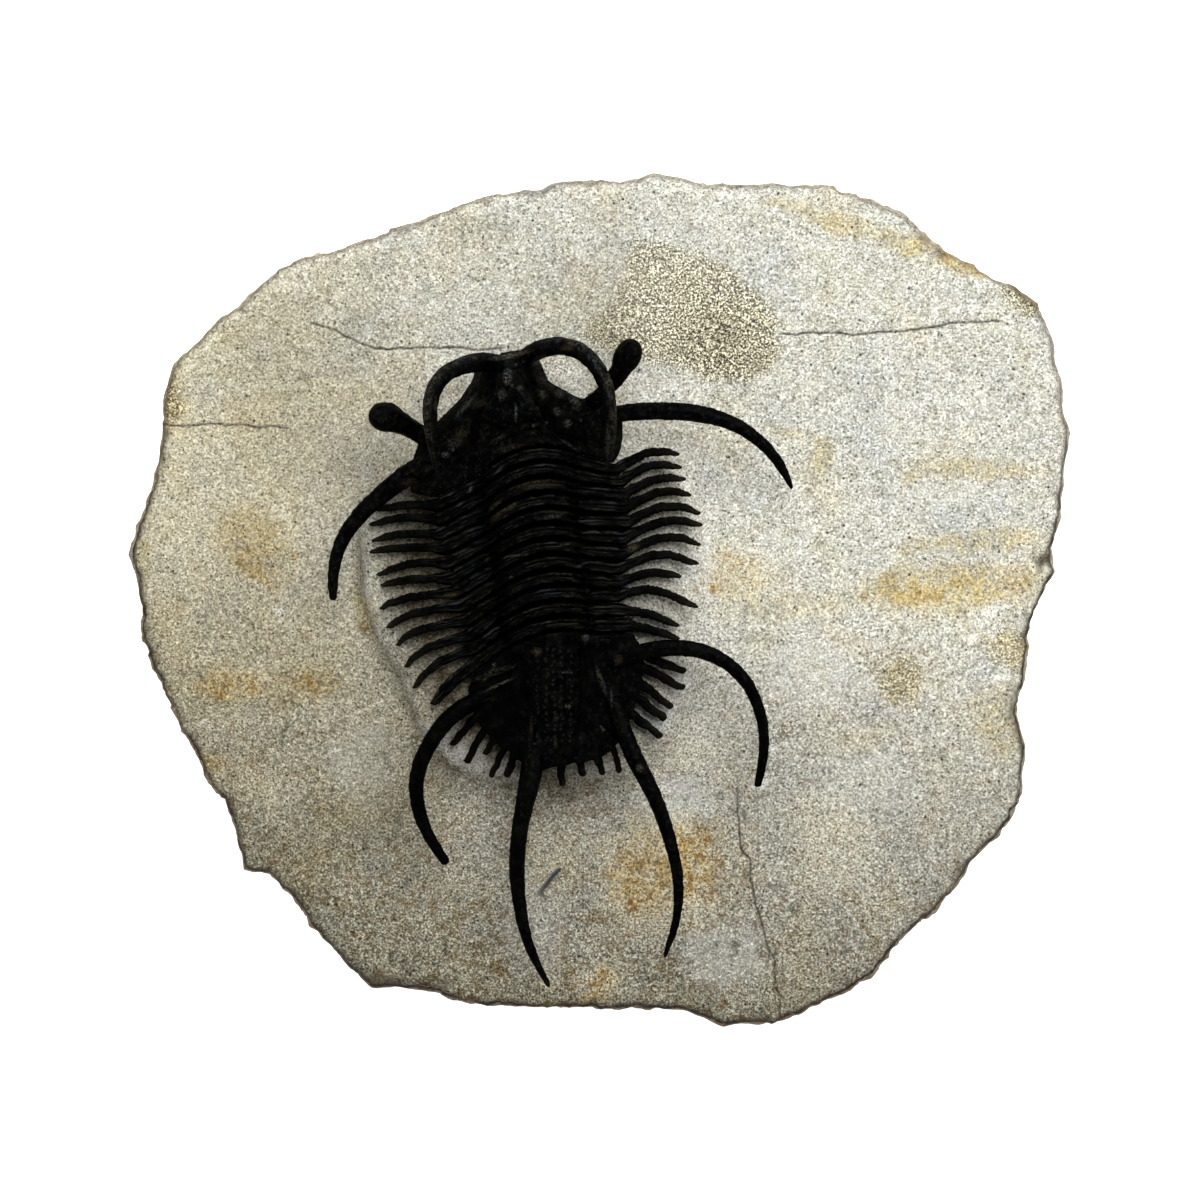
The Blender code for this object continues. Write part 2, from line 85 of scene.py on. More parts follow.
# Where the broken edge stands out a little further.
EDGE_LUMPS = [
    (49.5, 2.0), (20.6, 45.8), (-14.1, 43.9), (-50.5, -4.5), (-46.0, -14.9), (-9.4, -45.0), (40.8, -29.6),
]
# The outline of the brownish patch of coarser, open-grained stone above the head.
COARSE_OUTLINE = [
    (4.4, 39.8), (9.8, 38.6), (14.2, 36.6), (17.3, 34.2), (19.6, 30.6), (20.0, 27.4), (18.6, 25.0),
    (16.0, 23.8), (11.6, 24.4), (7.1, 25.8), (2.0, 27.0), (-1.7, 28.6), (-1.3, 30.3), (1.3, 31.4),
    (2.5, 34.8), (3.0, 37.4),
]
# Chalky stone left round the short spines of the tail. A patch here and below is an oval: its
# middle, half length, half width, turn in degrees and strength.
PALE = [
    (-13.6, -16.8, 4.6, 2.4, -32, 1.0), (-9.6, -18.4, 2.4, 1.6, -10, 1.0),
    (-2.6, -18.6, 5.0, 1.5, 2, 0.7), (6.0, -12.6, 2.4, 2.6, -15, 0.8), (8.6, -9.0, 1.6, 2.6, -15, 0.5),
    (12.2, 4.0, 0.6, 8.0, 2, 0.4),
]
# Stains in the stone and what else colours it, each a set of patches.
STAINS = {
    "ochre": [
        (6.8, -29.5, 6.0, 6.8, -10, 0.6), (21.5, 43.2, 4.0, 0.8, -16, 0.6),
        (27.0, 41.2, 4.6, 1.5, -14, 0.7), (33.6, 39.3, 4.6, 1.5, -14, 0.8),
        (40.0, 37.4, 4.8, 1.6, -22, 0.9), (20.5, 18.6, 2.8, 0.8, -8, 0.5), (24.6, 16.2, 1.1, 2.3, 0, 0.7),
        (41.4, 14.4, 8.5, 1.3, -3, 0.6), (34.5, 13.6, 1.6, 0.9, 20, 0.7), (41.4, 6.4, 8.6, 1.4, 3, 0.7),
        (34.5, 5.6, 2.0, 1.0, 20, 0.6), (38.3, 1.4, 11.0, 3.0, 3, 0.95), (33.1, -8.9, 2.4, 3.3, 10, 0.6),
        (45.2, -5.4, 3.0, 2.2, -10, 0.6), (30.0, -15.0, 4.0, 1.6, 20, 0.3),
        (43.0, -10.5, 3.4, 1.2, 30, 0.4), (44.0, -14.0, 3.0, 4.6, 10, 0.5),
        (20.0, -0.8, 8.5, 1.6, 4, 0.45), (15.0, 2.6, 4.2, 3.2, 0, 0.55), (-38.3, 6.5, 5.2, 4.0, -40, 0.6),
        (-37.8, 3.0, 3.6, 0.55, -38, 0.9), (-40.5, -9.4, 4.6, 2.2, 0, 0.7),
        (-31.4, -9.3, 2.8, 1.4, 0, 0.6), (-33.0, -9.4, 7.0, 2.6, 0, 0.3),
        (-25.8, -1.0, 1.3, 3.2, 12, 0.6), (-47.0, 22.0, 2.0, 4.5, 0, 0.35),
        (-50.2, 5.0, 1.1, 2.4, 10, 0.6), (-42.5, -17.6, 1.4, 1.2, 0, 0.6),
        (9.0, -29.0, 4.2, 5.0, -25, 0.75), (4.2, -31.0, 3.4, 4.0, 20, 0.65),
        (12.6, -25.6, 2.4, 1.6, 20, 0.5), (0.5, -41.7, 1.7, 1.6, 0, 0.8), (-0.7, -44.0, 1.8, 0.9, 0, 0.8),
        (46.5, 33.0, 2.2, 1.2, -45, 0.2), (49.0, 0.0, 1.2, 3.4, 5, 0.5),
    ],
    "rust": [
        (13.9, 4.0, 0.9, 0.5, 0, 0.9), (12.9, 1.2, 0.6, 0.9, 0, 0.8), (13.4, 2.4, 0.5, 0.6, 0, 0.7),
        (17.1, 4.1, 0.7, 0.4, 0, 0.5), (10.7, 0.9, 0.5, 0.4, 0, 0.6), (-33.5, 4.8, 0.5, 0.4, 0, 1.1),
        (-32.2, -3.9, 0.7, 0.3, 45, 0.8), (-25.8, -3.2, 1.1, 0.6, -30, 0.8),
        (5.0, -31.0, 4.6, 4.4, 0, 0.5), (9.8, -28.8, 2.8, 4.6, -12, 0.75),
        (12.2, -30.5, 2.0, 3.6, 0, 0.6), (-0.6, -43.0, 2.2, 1.8, 0, 0.5), (-41.0, -9.6, 4.0, 1.6, 0, 0.6),
        (-31.4, -9.3, 2.4, 1.1, 0, 0.55), (32.0, 1.2, 2.6, 1.3, -35, 0.3), (45.6, 1.4, 2.2, 1.2, 10, 0.3),
        (14.0, 3.0, 3.0, 2.6, 0, 0.4), (39.0, 37.4, 4.0, 1.0, -22, 0.35),
        (-37.0, 3.4, 4.0, 2.0, -38, 0.35), (9.9, -26.2, 1.3, 0.8, 30, 0.7),
        (10.3, -30.3, 1.4, 1.5, 0, 0.8), (3.6, -29.5, 1.3, 0.8, 15, 0.6), (3.6, -33.6, 1.2, 0.9, 0, 0.9),
        (5.2, -31.8, 1.2, 0.7, 40, 0.6), (9.7, -36.0, 1.1, 0.6, 0, 0.6), (12.2, -35.8, 0.4, 0.3, 0, 0.9),
        (3.4, -36.9, 0.7, 0.6, 0, 0.6), (0.5, -41.7, 0.9, 0.8, 0, 0.5), (29.0, 0.1, 0.7, 0.9, 0, 0.5),
        (36.0, 0.4, 2.0, 0.8, 0, 0.5), (39.8, -1.2, 1.2, 0.6, 0, 0.45), (45.0, 0.9, 1.2, 0.6, 0, 0.5),
        (-45.9, -1.0, 0.5, 0.4, 0, 0.5), (-49.9, -0.9, 0.5, 0.6, 0, 0.9),
        (-39.5, 4.1, 1.6, 0.35, -20, 0.5), (-36.8, 2.2, 1.8, 0.35, -50, 0.5),
        (-31.3, -9.4, 0.5, 0.4, 0, 0.8), (-41.5, -8.9, 0.9, 0.6, 0, 0.6),
    ],
    "coarse": [
        (33.1, -8.9, 2.6, 3.3, 10, 0.55), (45.2, -5.4, 3.2, 2.6, -10, 0.4),
        (20.6, -14.4, 1.0, 1.2, 0, 0.5), (46.5, 33.4, 3.0, 1.8, -45, 1.0),
        (-46.9, 21.8, 0.9, 3.0, 0, 0.8), (49.0, 4.4, 0.9, 1.2, -25, 1.0), (-9.0, 24.6, 3.0, 2.2, 0, 0.4),
        (-5.0, 26.2, 4.0, 1.4, 0, 0.4),
    ],
    "shade": [
        (13.4, 29.8, 3.6, 2.4, -30, 0.3), (16.8, 26.2, 2.0, 1.4, 0, 0.3), (9.4, 28.2, 2.2, 1.2, 40, 0.25),
        (47.2, 34.4, 3.2, 1.3, -45, 1.0), (-24.4, -41.9, 3.6, 1.0, -14, 0.9),
        (-17.5, -42.2, 2.0, 0.8, 0, 0.6), (45.9, -13.0, 1.0, 4.6, 12, 0.6),
        (49.1, 4.2, 0.9, 1.3, -25, 1.3), (16.1, -24.0, 0.45, 1.2, 15, 0.8),
        (17.1, -26.8, 0.6, 0.5, 0, 0.6), (-5.6, -31.2, 1.9, 0.28, 48, 1.1),
        (-23.2, 30.1, 0.35, 0.3, 0, 0.8), (-28.2, 17.5, 0.4, 0.3, 0, 0.6),
        (32.5, 2.8, 0.45, 0.3, -30, 0.9), (33.4, 2.1, 0.4, 0.3, -30, 0.6),
        (-37.3, 18.8, 0.3, 0.25, 0, 1.0), (6.8, 19.3, 0.9, 0.5, 0, 0.5), (11.0, -43.5, 3.0, 1.2, 10, 0.3),
        (33.0, -8.0, 1.2, 2.0, 10, 0.25), (-25.4, 18.6, 1.2, 1.0, 0, 0.35),
        (-21.0, 14.6, 2.0, 1.0, -35, 0.35),
    ],
    "cream": [
        (7.0, -30.0, 6.5, 7.5, 0, 0.7), (15.5, 2.6, 4.2, 3.4, 0, 0.5), (38.0, 0.0, 10.0, 2.0, 3, 0.4),
        (-40.0, -9.0, 5.0, 2.0, 0, 0.35), (10.0, -16.0, 4.0, 3.0, 30, 0.3),
        (0.0, -42.5, 3.0, 2.4, 0, 0.5), (26.0, -27.0, 5.0, 7.0, 20, 0.3),
        (-36.0, -22.0, 5.0, 3.0, -40, 0.25),
    ],
    "grey": [
        (23.2, -8.3, 6.0, 4.0, 0, 0.7), (36.0, 20.0, 9.0, 4.0, 0, 0.2), (30.0, 33.0, 9.0, 3.0, 0, 0.15),
        (8.0, -22.0, 5.0, 2.6, 0, 0.7), (14.0, -39.0, 5.0, 4.0, 0, 0.6), (-7.0, -36.0, 4.0, 6.0, 0, 0.3),
        (-26.0, -18.0, 4.0, 5.0, 0, 0.5), (30.0, -20.0, 6.0, 5.0, 0, 0.4), (38.0, 10.5, 8.0, 1.6, 0, 0.3),
    ],
    "calcite": [
        (-4.0, 25.4, 2.6, 1.5, -35, 0.35), (-14.4, 22.6, 1.4, 2.6, -30, 0.3),
        (44.2, -8.6, 1.4, 0.35, 0, 1.0), (42.8, -1.5, 1.1, 0.6, 20, 0.8), (41.1, -4.4, 0.5, 0.7, 0, 0.6),
        (-35.1, -1.3, 0.6, 0.35, -20, 0.9), (14.2, 23.2, 0.7, 0.3, 20, 0.4),
        (-43.5, -13.5, 0.5, 0.4, 0, 0.6), (6.9, -43.8, 0.6, 0.25, 0, 0.6),
        (16.8, -38.0, 0.4, 0.3, 0, 0.7), (18.0, -20.0, 1.0, 1.0, 0, 0.4),
    ],
}


def copy_of(node, name, voxel, rounds):
    """A copy of a CAD node as one merged skin of even faces, with its hard corners eased."""
    piece = bpy.data.objects.new(name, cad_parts[node].data.copy())
    bpy.context.scene.collection.objects.link(piece)
    bpy.ops.object.select_all(action="DESELECT")
    bpy.context.view_layer.objects.active = piece
    piece.select_set(True)
    bpy.ops.object.mode_set(mode="EDIT")
    bpy.ops.mesh.select_all(action="SELECT")
    bpy.ops.mesh.remove_doubles(threshold=0.001 * MM)
    bpy.ops.object.mode_set(mode="OBJECT")
    remesh = piece.modifiers.new("even faces", "REMESH")
    remesh.mode = "VOXEL"
    remesh.voxel_size = voxel * MM
    bpy.ops.object.modifier_apply(modifier=remesh.name)
    ease = piece.modifiers.new("eased corners", "SMOOTH")
    ease.factor = 0.5
    ease.iterations = rounds
    bpy.ops.object.modifier_apply(modifier=ease.name)
    return piece


def rows_of(items, name):
    """A vector that every vertex or face has, one row each."""
    rows = np.empty(len(items) * 3, np.float32)
    items.foreach_get(name, rows)
    return rows.reshape(-1, 3).astype(float)


def places_of(piece):
    """Every vertex of a piece in millimetres."""
    return rows_of(piece.data.vertices, "co") / MM


def normals_of(piece):
    return rows_of(piece.data.vertex_normals, "vector")


def move_to(piece, places):
    piece.data.vertices.foreach_set("co", (places * MM).astype(np.float32).ravel())
    piece.data.update()


def paint(piece, name, values):
    """Keeps one number at each vertex for the piece's material to read."""
    attribute = piece.data.attributes.new(name, "FLOAT", "POINT")
    attribute.data.foreach_set("value", np.asarray(values, np.float32))


def grain(places, size, seed, octaves=3):
    """Soft noise from about -1 to 1 at each place, its lumps about one size wide."""
    shift = Vector((17.3 * seed, 0, 0))
    return np.array([noise.fractal(Vector(place) + shift, 0.9, 2.1, octaves)
                     for place in places * (1.0 / np.broadcast_to(size, 3))])


def step(low, high, values):
    """Rises smoothly from 0 at low to 1 at high."""
    share = np.clip((values - low) / (high - low), 0, 1)
    return share * share * (3 - 2 * share)


def distance_to(line, places):
    """Each place's distance in plan from a line through several points."""
    nearest = np.full(len(places), 1e9)
    flat = places[:, :2]
    for start, end in zip(np.array(line[:-1]), np.array(line[1:])):
        run = end - start
        share = np.clip((flat - start) @ run / (run @ run), 0, 1)
        nearest = np.minimum(nearest, np.hypot(*(flat - start - share[:, None] * run).T))
    return nearest


def distance_to_spots(spots, places):
    """Each place's distance in plan from the nearest of several spots."""
    return np.min([np.hypot(*(places[:, :2] - spot).T) for spot in spots], axis=0)


def nearest_in_plan(places, targets, wanted):
    """Which of the target vertices is nearest in plan to each wanted one, and how far off it is."""
    tree = kdtree.KDTree(len(targets))
    for number in targets:
        tree.insert((*places[number, :2], 0), int(number))
    tree.balance()
    found = [tree.find((*places[number, :2], 0))[1:] for number in wanted]
    numbers, reaches = zip(*found)
    return np.array(numbers), np.array(reaches)


def select_faces(piece, wanted):
    """Selects the faces that a true-or-false array names, and opens edit mode on them."""
    bpy.context.tool_settings.mesh_select_mode = (False, False, True)
    bpy.ops.object.mode_set(mode="EDIT")
    bpy.ops.mesh.select_all(action="DESELECT")
    bpy.ops.object.mode_set(mode="OBJECT")
    piece.data.polygons.foreach_set("select", wanted)
    bpy.ops.object.mode_set(mode="EDIT")


def ease_where(piece, amount, rounds):
    """Smooths a piece further where an amount from 0 to 1 says so."""
    eased = piece.vertex_groups.new(name="eased")
    for number in np.flatnonzero(amount > 0.05):
        eased.add([int(number)], float(amount[number]), "REPLACE")
    ease = piece.modifiers.new("further easing", "SMOOTH")
    ease.vertex_group = eased.name
    ease.iterations = rounds
    bpy.ops.object.modifier_apply(modifier=ease.name)
    piece.vertex_groups.clear()


slab = copy_of("matrix_slab", "limestone_slab", SLAB_VOXEL, 1)

# Finer faces along the cracks, so that they are real grooves.
centres = rows_of(slab.data.polygons, "center") / MM
near_crack = np.min([distance_to(line, centres) for line in [*CRACKS, SCRATCH]], axis=0) < CRACK_REACH
select_faces(slab, near_crack & (centres[:, 2] > SLAB_FACE - 3))
bpy.ops.mesh.subdivide(number_cuts=3)
bpy.ops.object.mode_set(mode="OBJECT")

# The ledge round the pedestal is crisp on the left. On the right and behind the tail the rock was
# ground down to a gentle slope. Here and below, to change x, y or z is to change the places.
LEDGE_SLOPE = 5.0
LEDGE_FOOT = SLAB_FACE + 0.35
places = places_of(slab)
x, y, z = places.T
on_face = z > SLAB_FACE - 1
pedestal = step(SLAB_FACE + 0.9, SLAB_FACE + 1.7, z)
ground_down = np.maximum(step(-4, 4, 0.8 * x - y - 8), step(1, 6, x))
low = np.flatnonzero(on_face & (z < LEDGE_FOOT))
high = np.flatnonzero(z >= LEDGE_FOOT)
inward = nearest_in_plan(places, low, high)[1]
z[high] -= (z[high] - SLAB_FACE) * ground_down[high] * (1 - step(0, LEDGE_SLOPE, inward))
move_to(slab, places)
near_fossil = 1 - step(22, 26, np.hypot(x + 4, y + 2))
ease_where(slab, near_fossil * (0.25 + 0.75 * ground_down) * on_face, 50)

# The broken edge: long shallow bays, small chips on some stretches of them, and ledges below the
# rim. It stands out by what smoothing took off the solid's corners, and the upper face moves out
# with it, so that the rim stays sharp.
BAY_DEPTH = 0.3
CHIP_DEPTH = 0.18
CHIPPED_DEPTH = 0.3
LEDGE_DEPTH = 0.45
EDGE_OUT = 0.42
LUMP_HEIGHT = 0.35
LUMP_WIDTH = 2.6
RIM_DROP = 1.2
RIM_REACH = 2.5
FAR_IN = 9.0
places = places_of(slab)
x, y, z = places.T
up = normals_of(slab)[:, 2]
upward = step(0.5, 0.9, up)
sideways = 1 - step(0.35, 0.8, np.abs(up))
off_base = step(0.3, 1.5, z)
outward = places * (1, 1, 0)
outward /= np.maximum(np.linalg.norm(outward, axis=1), 1)[:, None]
bays = grain(places, (7.0, 7.0, 9.0), 1, 2)
chips = grain(places, (1.5, 1.5, 2.2), 2)
chipped = step(-0.5, 0.4, grain(places, (6.0, 6.0, 9.0), 15, 2))
ledges = grain(places, (9.0, 9.0, 2.2), 3) * (1 - step(SLAB_FACE - 4, SLAB_FACE - 1, z))
lumps = np.exp(-(distance_to_spots(EDGE_LUMPS, places) / LUMP_WIDTH) ** 2)
broken = BAY_DEPTH * bays + (CHIP_DEPTH + CHIPPED_DEPTH * chipped) * chips + LEDGE_DEPTH * ledges
broken += EDGE_OUT + LUMP_HEIGHT * lumps
push = sideways * off_base * broken
on_side = np.flatnonzero((sideways > 0.9) & (np.abs(z - SLAB_FACE + RIM_DROP) < 0.4))
above = np.flatnonzero(z > SLAB_FACE - RIM_DROP)
nearest, reach = nearest_in_plan(places, on_side, above)
push[above] = (1 - step(0, RIM_REACH, reach)) * broken[nearest]
to_rim = np.full(len(places), FAR_IN)
to_rim[above] = reach
places += outward * push[:, None]

# The ground face: a slow swell, shallow pits and the open grain of the coarse and chalky patches.
SWELL = 0.1
PIT_DEPTH = 0.05
COARSE_RELIEF = 0.08
CHALK_RELIEF = 0.16
WANDER_SIZE = 2.2
relief = SWELL * grain(places, 9.0, 4) + PIT_DEPTH * grain(places, 1.6, 5)
z += upward * off_base * relief * (1 - 0.5 * pedestal)


def oval_reach(oval, flat):
    """How far out from an oval's middle each place in plan lies, with 1 on the oval's rim."""
    x, y, half_length, half_width, turn = oval
    angle = math.radians(turn)
    moved = flat - (x, y)
    along = (moved[:, 0] * math.cos(angle) + moved[:, 1] * math.sin(angle)) / half_length
    across = (moved[:, 1] * math.cos(angle) - moved[:, 0] * math.sin(angle)) / half_width
    return np.hypot(along, across)


def spread(patches, places, wander=0.0):
    """How strongly patches cover each place, with soft borders that may wander."""
    amount = np.zeros(len(places))
    for *oval, strength in patches:
        flat = places[:, :2] + wander * min(oval[3], WANDER_SIZE) * 0.45
        amount = np.maximum(amount, strength * (1 - step(0.45, 1.25, oval_reach(oval, flat))))
    return amount


def inside(outline, places):
    """True for the places that lie inside an outline in plan."""
    crossings = np.zeros(len(places), int)
    for (x0, y0), (x1, y1) in zip(outline, outline[1:] + outline[:1]):
        spans = (places[:, 1] < y0) != (places[:, 1] < y1)
        if y0 != y1:
            crossings += spans & (places[:, 0] < x0 + (places[:, 1] - y0) * (x1 - x0) / (y1 - y0))
    return crossings % 2 == 1


flat = places * (1, 1, 0)
wander = np.stack([grain(flat, WANDER_SIZE, 6), grain(flat, WANDER_SIZE, 7)], axis=1)
stains = {name: spread(patches, places, wander) for name, patches in STAINS.items()}
drawn = places.copy()
drawn[:, :2] += 0.6 * wander
depth_in = distance_to(COARSE_OUTLINE + COARSE_OUTLINE[:1], drawn)
depth_in = np.where(inside(COARSE_OUTLINE, drawn), depth_in, -depth_in)
darker = np.exp(-(((x - 14) / 9) ** 2 + ((y - 28) / 7) ** 2))
stains["coarse"] = np.maximum(stains["coarse"], step(-0.8, 0.8, depth_in) * (0.7 + 0.3 * darker))
z += upward * stains["coarse"] * COARSE_RELIEF * grain(places, 0.7, 8, 2)
chalk = spread(PALE, places, wander)
z += upward * chalk * CHALK_RELIEF * grain(places, 1.3, 18)

crack = np.zeros(len(places))
for line in CRACKS:
    reach = distance_to(line, places + 0.12 * grain(places, 1.2, 9)[:, None])
    crack = np.maximum(crack, np.exp(-(reach / CRACK_WIDTH) ** 2))
crack *= step(SLAB_FACE - 2.5, SLAB_FACE - 1.0, z)
z -= CRACK_DEPTH * crack
move_to(slab, places)

for name, amount in stains.items():
    paint(slab, name, amount * step(SLAB_FACE - 6, SLAB_FACE - 1, z))
paint(slab, "crack", np.clip(1.5 * crack, 0, 1))
scratch = np.clip(2 * np.exp(-(distance_to(SCRATCH, places) / SCRATCH_WIDTH) ** 2), 0, 1) * on_face
paint(slab, "scratch", scratch * step(-7.5, -5.4, x))

# The broken rim is dark: painted shade on its sloping faces, in patches and more of it towards the
# viewer, and brown grime in patches at its very edge. The sides are weathered brown too, but not
# the fresh sawn base.
rim_noise = grain(places, (2.4, 2.4, 1.0), 16, 2)
rim = step(0.92, 0.6, up) * step(SLAB_FACE - 4, SLAB_FACE - 1, z) * (to_rim < FAR_IN)
rim *= (0.6 + 0.4 * step(-0.7, 0.0, rim_noise)) * (0.5 + 0.5 * step(30, 5, y))
grimed = step(1.4, 0.3, to_rim) * step(0.15, 0.55, rim_noise)
paint(slab, "rim", np.maximum(rim, 0.7 * grimed))
edge = (1 - step(SLAB_FACE - 1.4, SLAB_FACE - 0.25, z)) * (1 - step(0.5, 0.0, z))
paint(slab, "edge", edge)

# The stone yellows towards the left. Towards the viewer it is painted darker and greyer, as painted shade
# where the lamps' light falls off, with brown flecks of dirt in it.
spill = 2.5 * grain(places, 12.0, 10, 2)
paint(slab, "weathered", np.clip((-8 - x - spill) / 38, 0, 1))
paint(slab, "front_shade_and_dirt", np.clip((4 - y - 0.2 * x - spill) / 50, 0, 1))

# The pedestal: a painted highlight in the chalk's colour along the lip of its ledge on the left,
# painted shade at the foot where its ledge is crisp, and painted shadow round the fossil, most on
# its left, under the spines.
lit_lip = np.exp(-((z - SLAB_FACE - 1.35) / 0.3) ** 2) * (upward < 0.98)
lit_lip *= step(0, -10, x + 0.4 * y) * step(-0.4, 0.5, grain(places, 3.0, 17, 2))
paint(slab, "chalk_and_lit_lip", np.maximum(chalk * on_face, 0.7 * lit_lip))
shade_at_ledge_foot = step(SLAB_FACE - 0.3, SLAB_FACE + 0.15, z) * (1 - step(SLAB_FACE + 0.8, SLAB_FACE + 1.6, z))
paint(slab, "shade_at_ledge_foot", shade_at_ledge_foot * (1 - ground_down))
shadowed_side = (0.3 + 0.7 * step(4, -4, x)) * step(15, 11, y)
reach_out = np.hypot((x + 7.0 + 0.14 * y) / 13.0, (y - 0.5) / 19.5)
paint(slab, "painted_shadow_round_fossil", on_face * shadowed_side * step(1.5, 0.95, reach_out))

# The sawn base needs few faces.
select_faces(slab, rows_of(slab.data.polygons, "center")[:, 2] < 0.02 * MM)
bpy.ops.mesh.dissolve_limited(angle_limit=math.radians(2))
bpy.ops.object.mode_set(mode="OBJECT")


def linear(code):
    """An sRGB hex colour such as "#d3d2c4" as the linear colour that a shader takes."""
    parts = [int(code[start:start + 2], 16) / 255 for start in (1, 3, 5)]
    return (*[part / 12.92 if part <= 0.04045 else ((part + 0.055) / 1.055) ** 2.4
              for part in parts], 1.0)


def per_size(size):
    """The scale that gives a pattern lumps of one size in millimetres on Object coordinates."""
    return 1.0 / (size * MM)


def feed(node, inputs):
    """Sets a node's inputs: to values, to sockets or to nodes, by which their first output is meant."""
    for name, value in inputs.items():
        if isinstance(value, bpy.types.Node):
            value = next(socket for socket in value.outputs if socket.enabled)
        if isinstance(value, bpy.types.NodeSocket):
            node.id_data.links.new(value, node.inputs[name])
        else:
            node.inputs[name].default_value = value


def add(material, kind, inputs=None, **settings):
    """Adds a shader node of a kind such as "Mix", with its own settings and what feeds it."""
    node = material.node_tree.nodes.new("ShaderNode" + kind)
    for name, value in settings.items():
        setattr(node, name, value)
    feed(node, inputs or {})
    return node


def new_material(name):
    """A material with its shader's node, ready for its other nodes."""
    material = bpy.data.materials.new(name)
    material.use_nodes = True
    return material, material.node_tree.nodes["Principled BSDF"]


def with_stops(node, stops):
    """Gives a colour ramp its stops, each a place and an sRGB hex colour."""
    ramp = node.color_ramp
    while len(ramp.elements) > 1:
        ramp.elements.remove(ramp.elements[-1])
    for number, (place, code) in enumerate(stops):
        element = ramp.elements[0] if number == 0 else ramp.elements.new(place)
        element.position = place
        element.color = linear(code)
    return node


def cover(piece, material):
    """Gives a piece its one material, with smooth shading."""
    piece.data.shade_smooth()
    piece.data.materials.clear()
    piece.data.materials.append(material)


# Limestone with the finish of an air abrasive: a dull, sugary surface of cream and grey grains
# about a quarter of a millimetre across, with sparse dark specks. Iron has stained it ochre and rust
# along old joints, and its broken edge is brown with weathering.
# Shade is painted into its colour too: towards the viewer, on the sloping rim, at the ledge's foot and
# round the fossil, with a painted highlight on the pedestal's lip.
limestone, stone = new_material("abraded limestone")
where = add(limestone, "TexCoord").outputs["Object"]
# Soft patterns: the size of their lumps, their detail and its strength.
sugar, cloud, mottle, flecks = [
    add(limestone, "TexNoise", {"Vector": where, "Scale": per_size(size),
                                "Detail": detail, "Roughness": roughness})
    for size, detail, roughness in ((0.23, 2.0, 0.7), (7.0, 5.0, 0.6), (1.5, 4.0, 0.7),
                                    (0.55, 3.0, 0.6))]
grains = add(limestone, "TexVoronoi", {"Vector": where, "Scale": per_size(0.24)})
grain_value = add(limestone, "SeparateColor", {"Color": grains.outputs["Color"]})
# The tones of the two sizes of grain, and of the clouds and mottling that lie over them.
sugar_tone, grain_tone, tint, blotch = [
    with_stops(add(limestone, "ValToRGB", {"Fac": pattern}), stops)
    for pattern, stops in (
        (sugar, [(0.32, "#423d35"), (0.42, "#8a867f"), (0.5, "#b3b2ab"), (0.58, "#cecdc7"),
                 (0.69, "#fbfaf6")]),
        (grain_value, [(0.0, "#3f3a32"), (0.15, "#85827b"), (0.5, "#aaa9a3"), (0.8, "#c2c1bb"),
                       (1.0, "#f8f7f3")]),
        (cloud, [(0.3, "#ebeff1"), (0.5, "#fafbf6"), (0.7, "#fbf8ea")]),
        (mottle, [(0.28, "#d0cfc7"), (0.42, "#f2f1ec"), (0.6, "#ffffff")]))]
body = add(limestone, "Mix", {0: 0.45, 6: sugar_tone, 7: grain_tone}, data_type="RGBA")
for tone in (tint, blotch):
    body = add(limestone, "Mix", {0: 1.0, 6: body, 7: tone}, data_type="RGBA", blend_type="MULTIPLY")
# Dark specks of two sizes, some to a millimetre, each in a cell of its own.
for spacing, widest, dark_from in ((0.9, 0.22, 0.25), (0.55, 0.26, 0.45)):
    specks = add(limestone, "TexVoronoi", {"Vector": where, "Scale": per_size(spacing)})
    speck_dot = add(limestone, "MapRange",
                    {"Value": specks, "From Min": widest, "From Max": 0.5 * widest})
    speck_pick = add(limestone, "SeparateColor", {"Color": specks.outputs["Color"]})
    speck_dark = add(limestone, "MapRange",
                     {"Value": speck_pick, "From Min": dark_from, "From Max": 1.0})
    share = add(limestone, "Math", {0: speck_dot, 1: speck_dark}, operation="MULTIPLY")
    body = add(limestone, "Mix", {0: share, 6: body, 7: linear("#2c2920")}, data_type="RGBA")
# The coarse patch: the same stone with its dark cement left between the grains.
coarse_tone = with_stops(
    add(limestone, "ValToRGB", {"Fac": sugar}),
    [(0.38, "#1b1a13"), (0.46, "#5a5543"), (0.53, "#958f76"), (0.6, "#cfcab0"), (0.68, "#fffee8")])
coarse = add(limestone, "Attribute", attribute_name="coarse").outputs["Fac"]
body = add(limestone, "Mix", {0: coarse, 6: body, 7: coarse_tone}, data_type="RGBA")
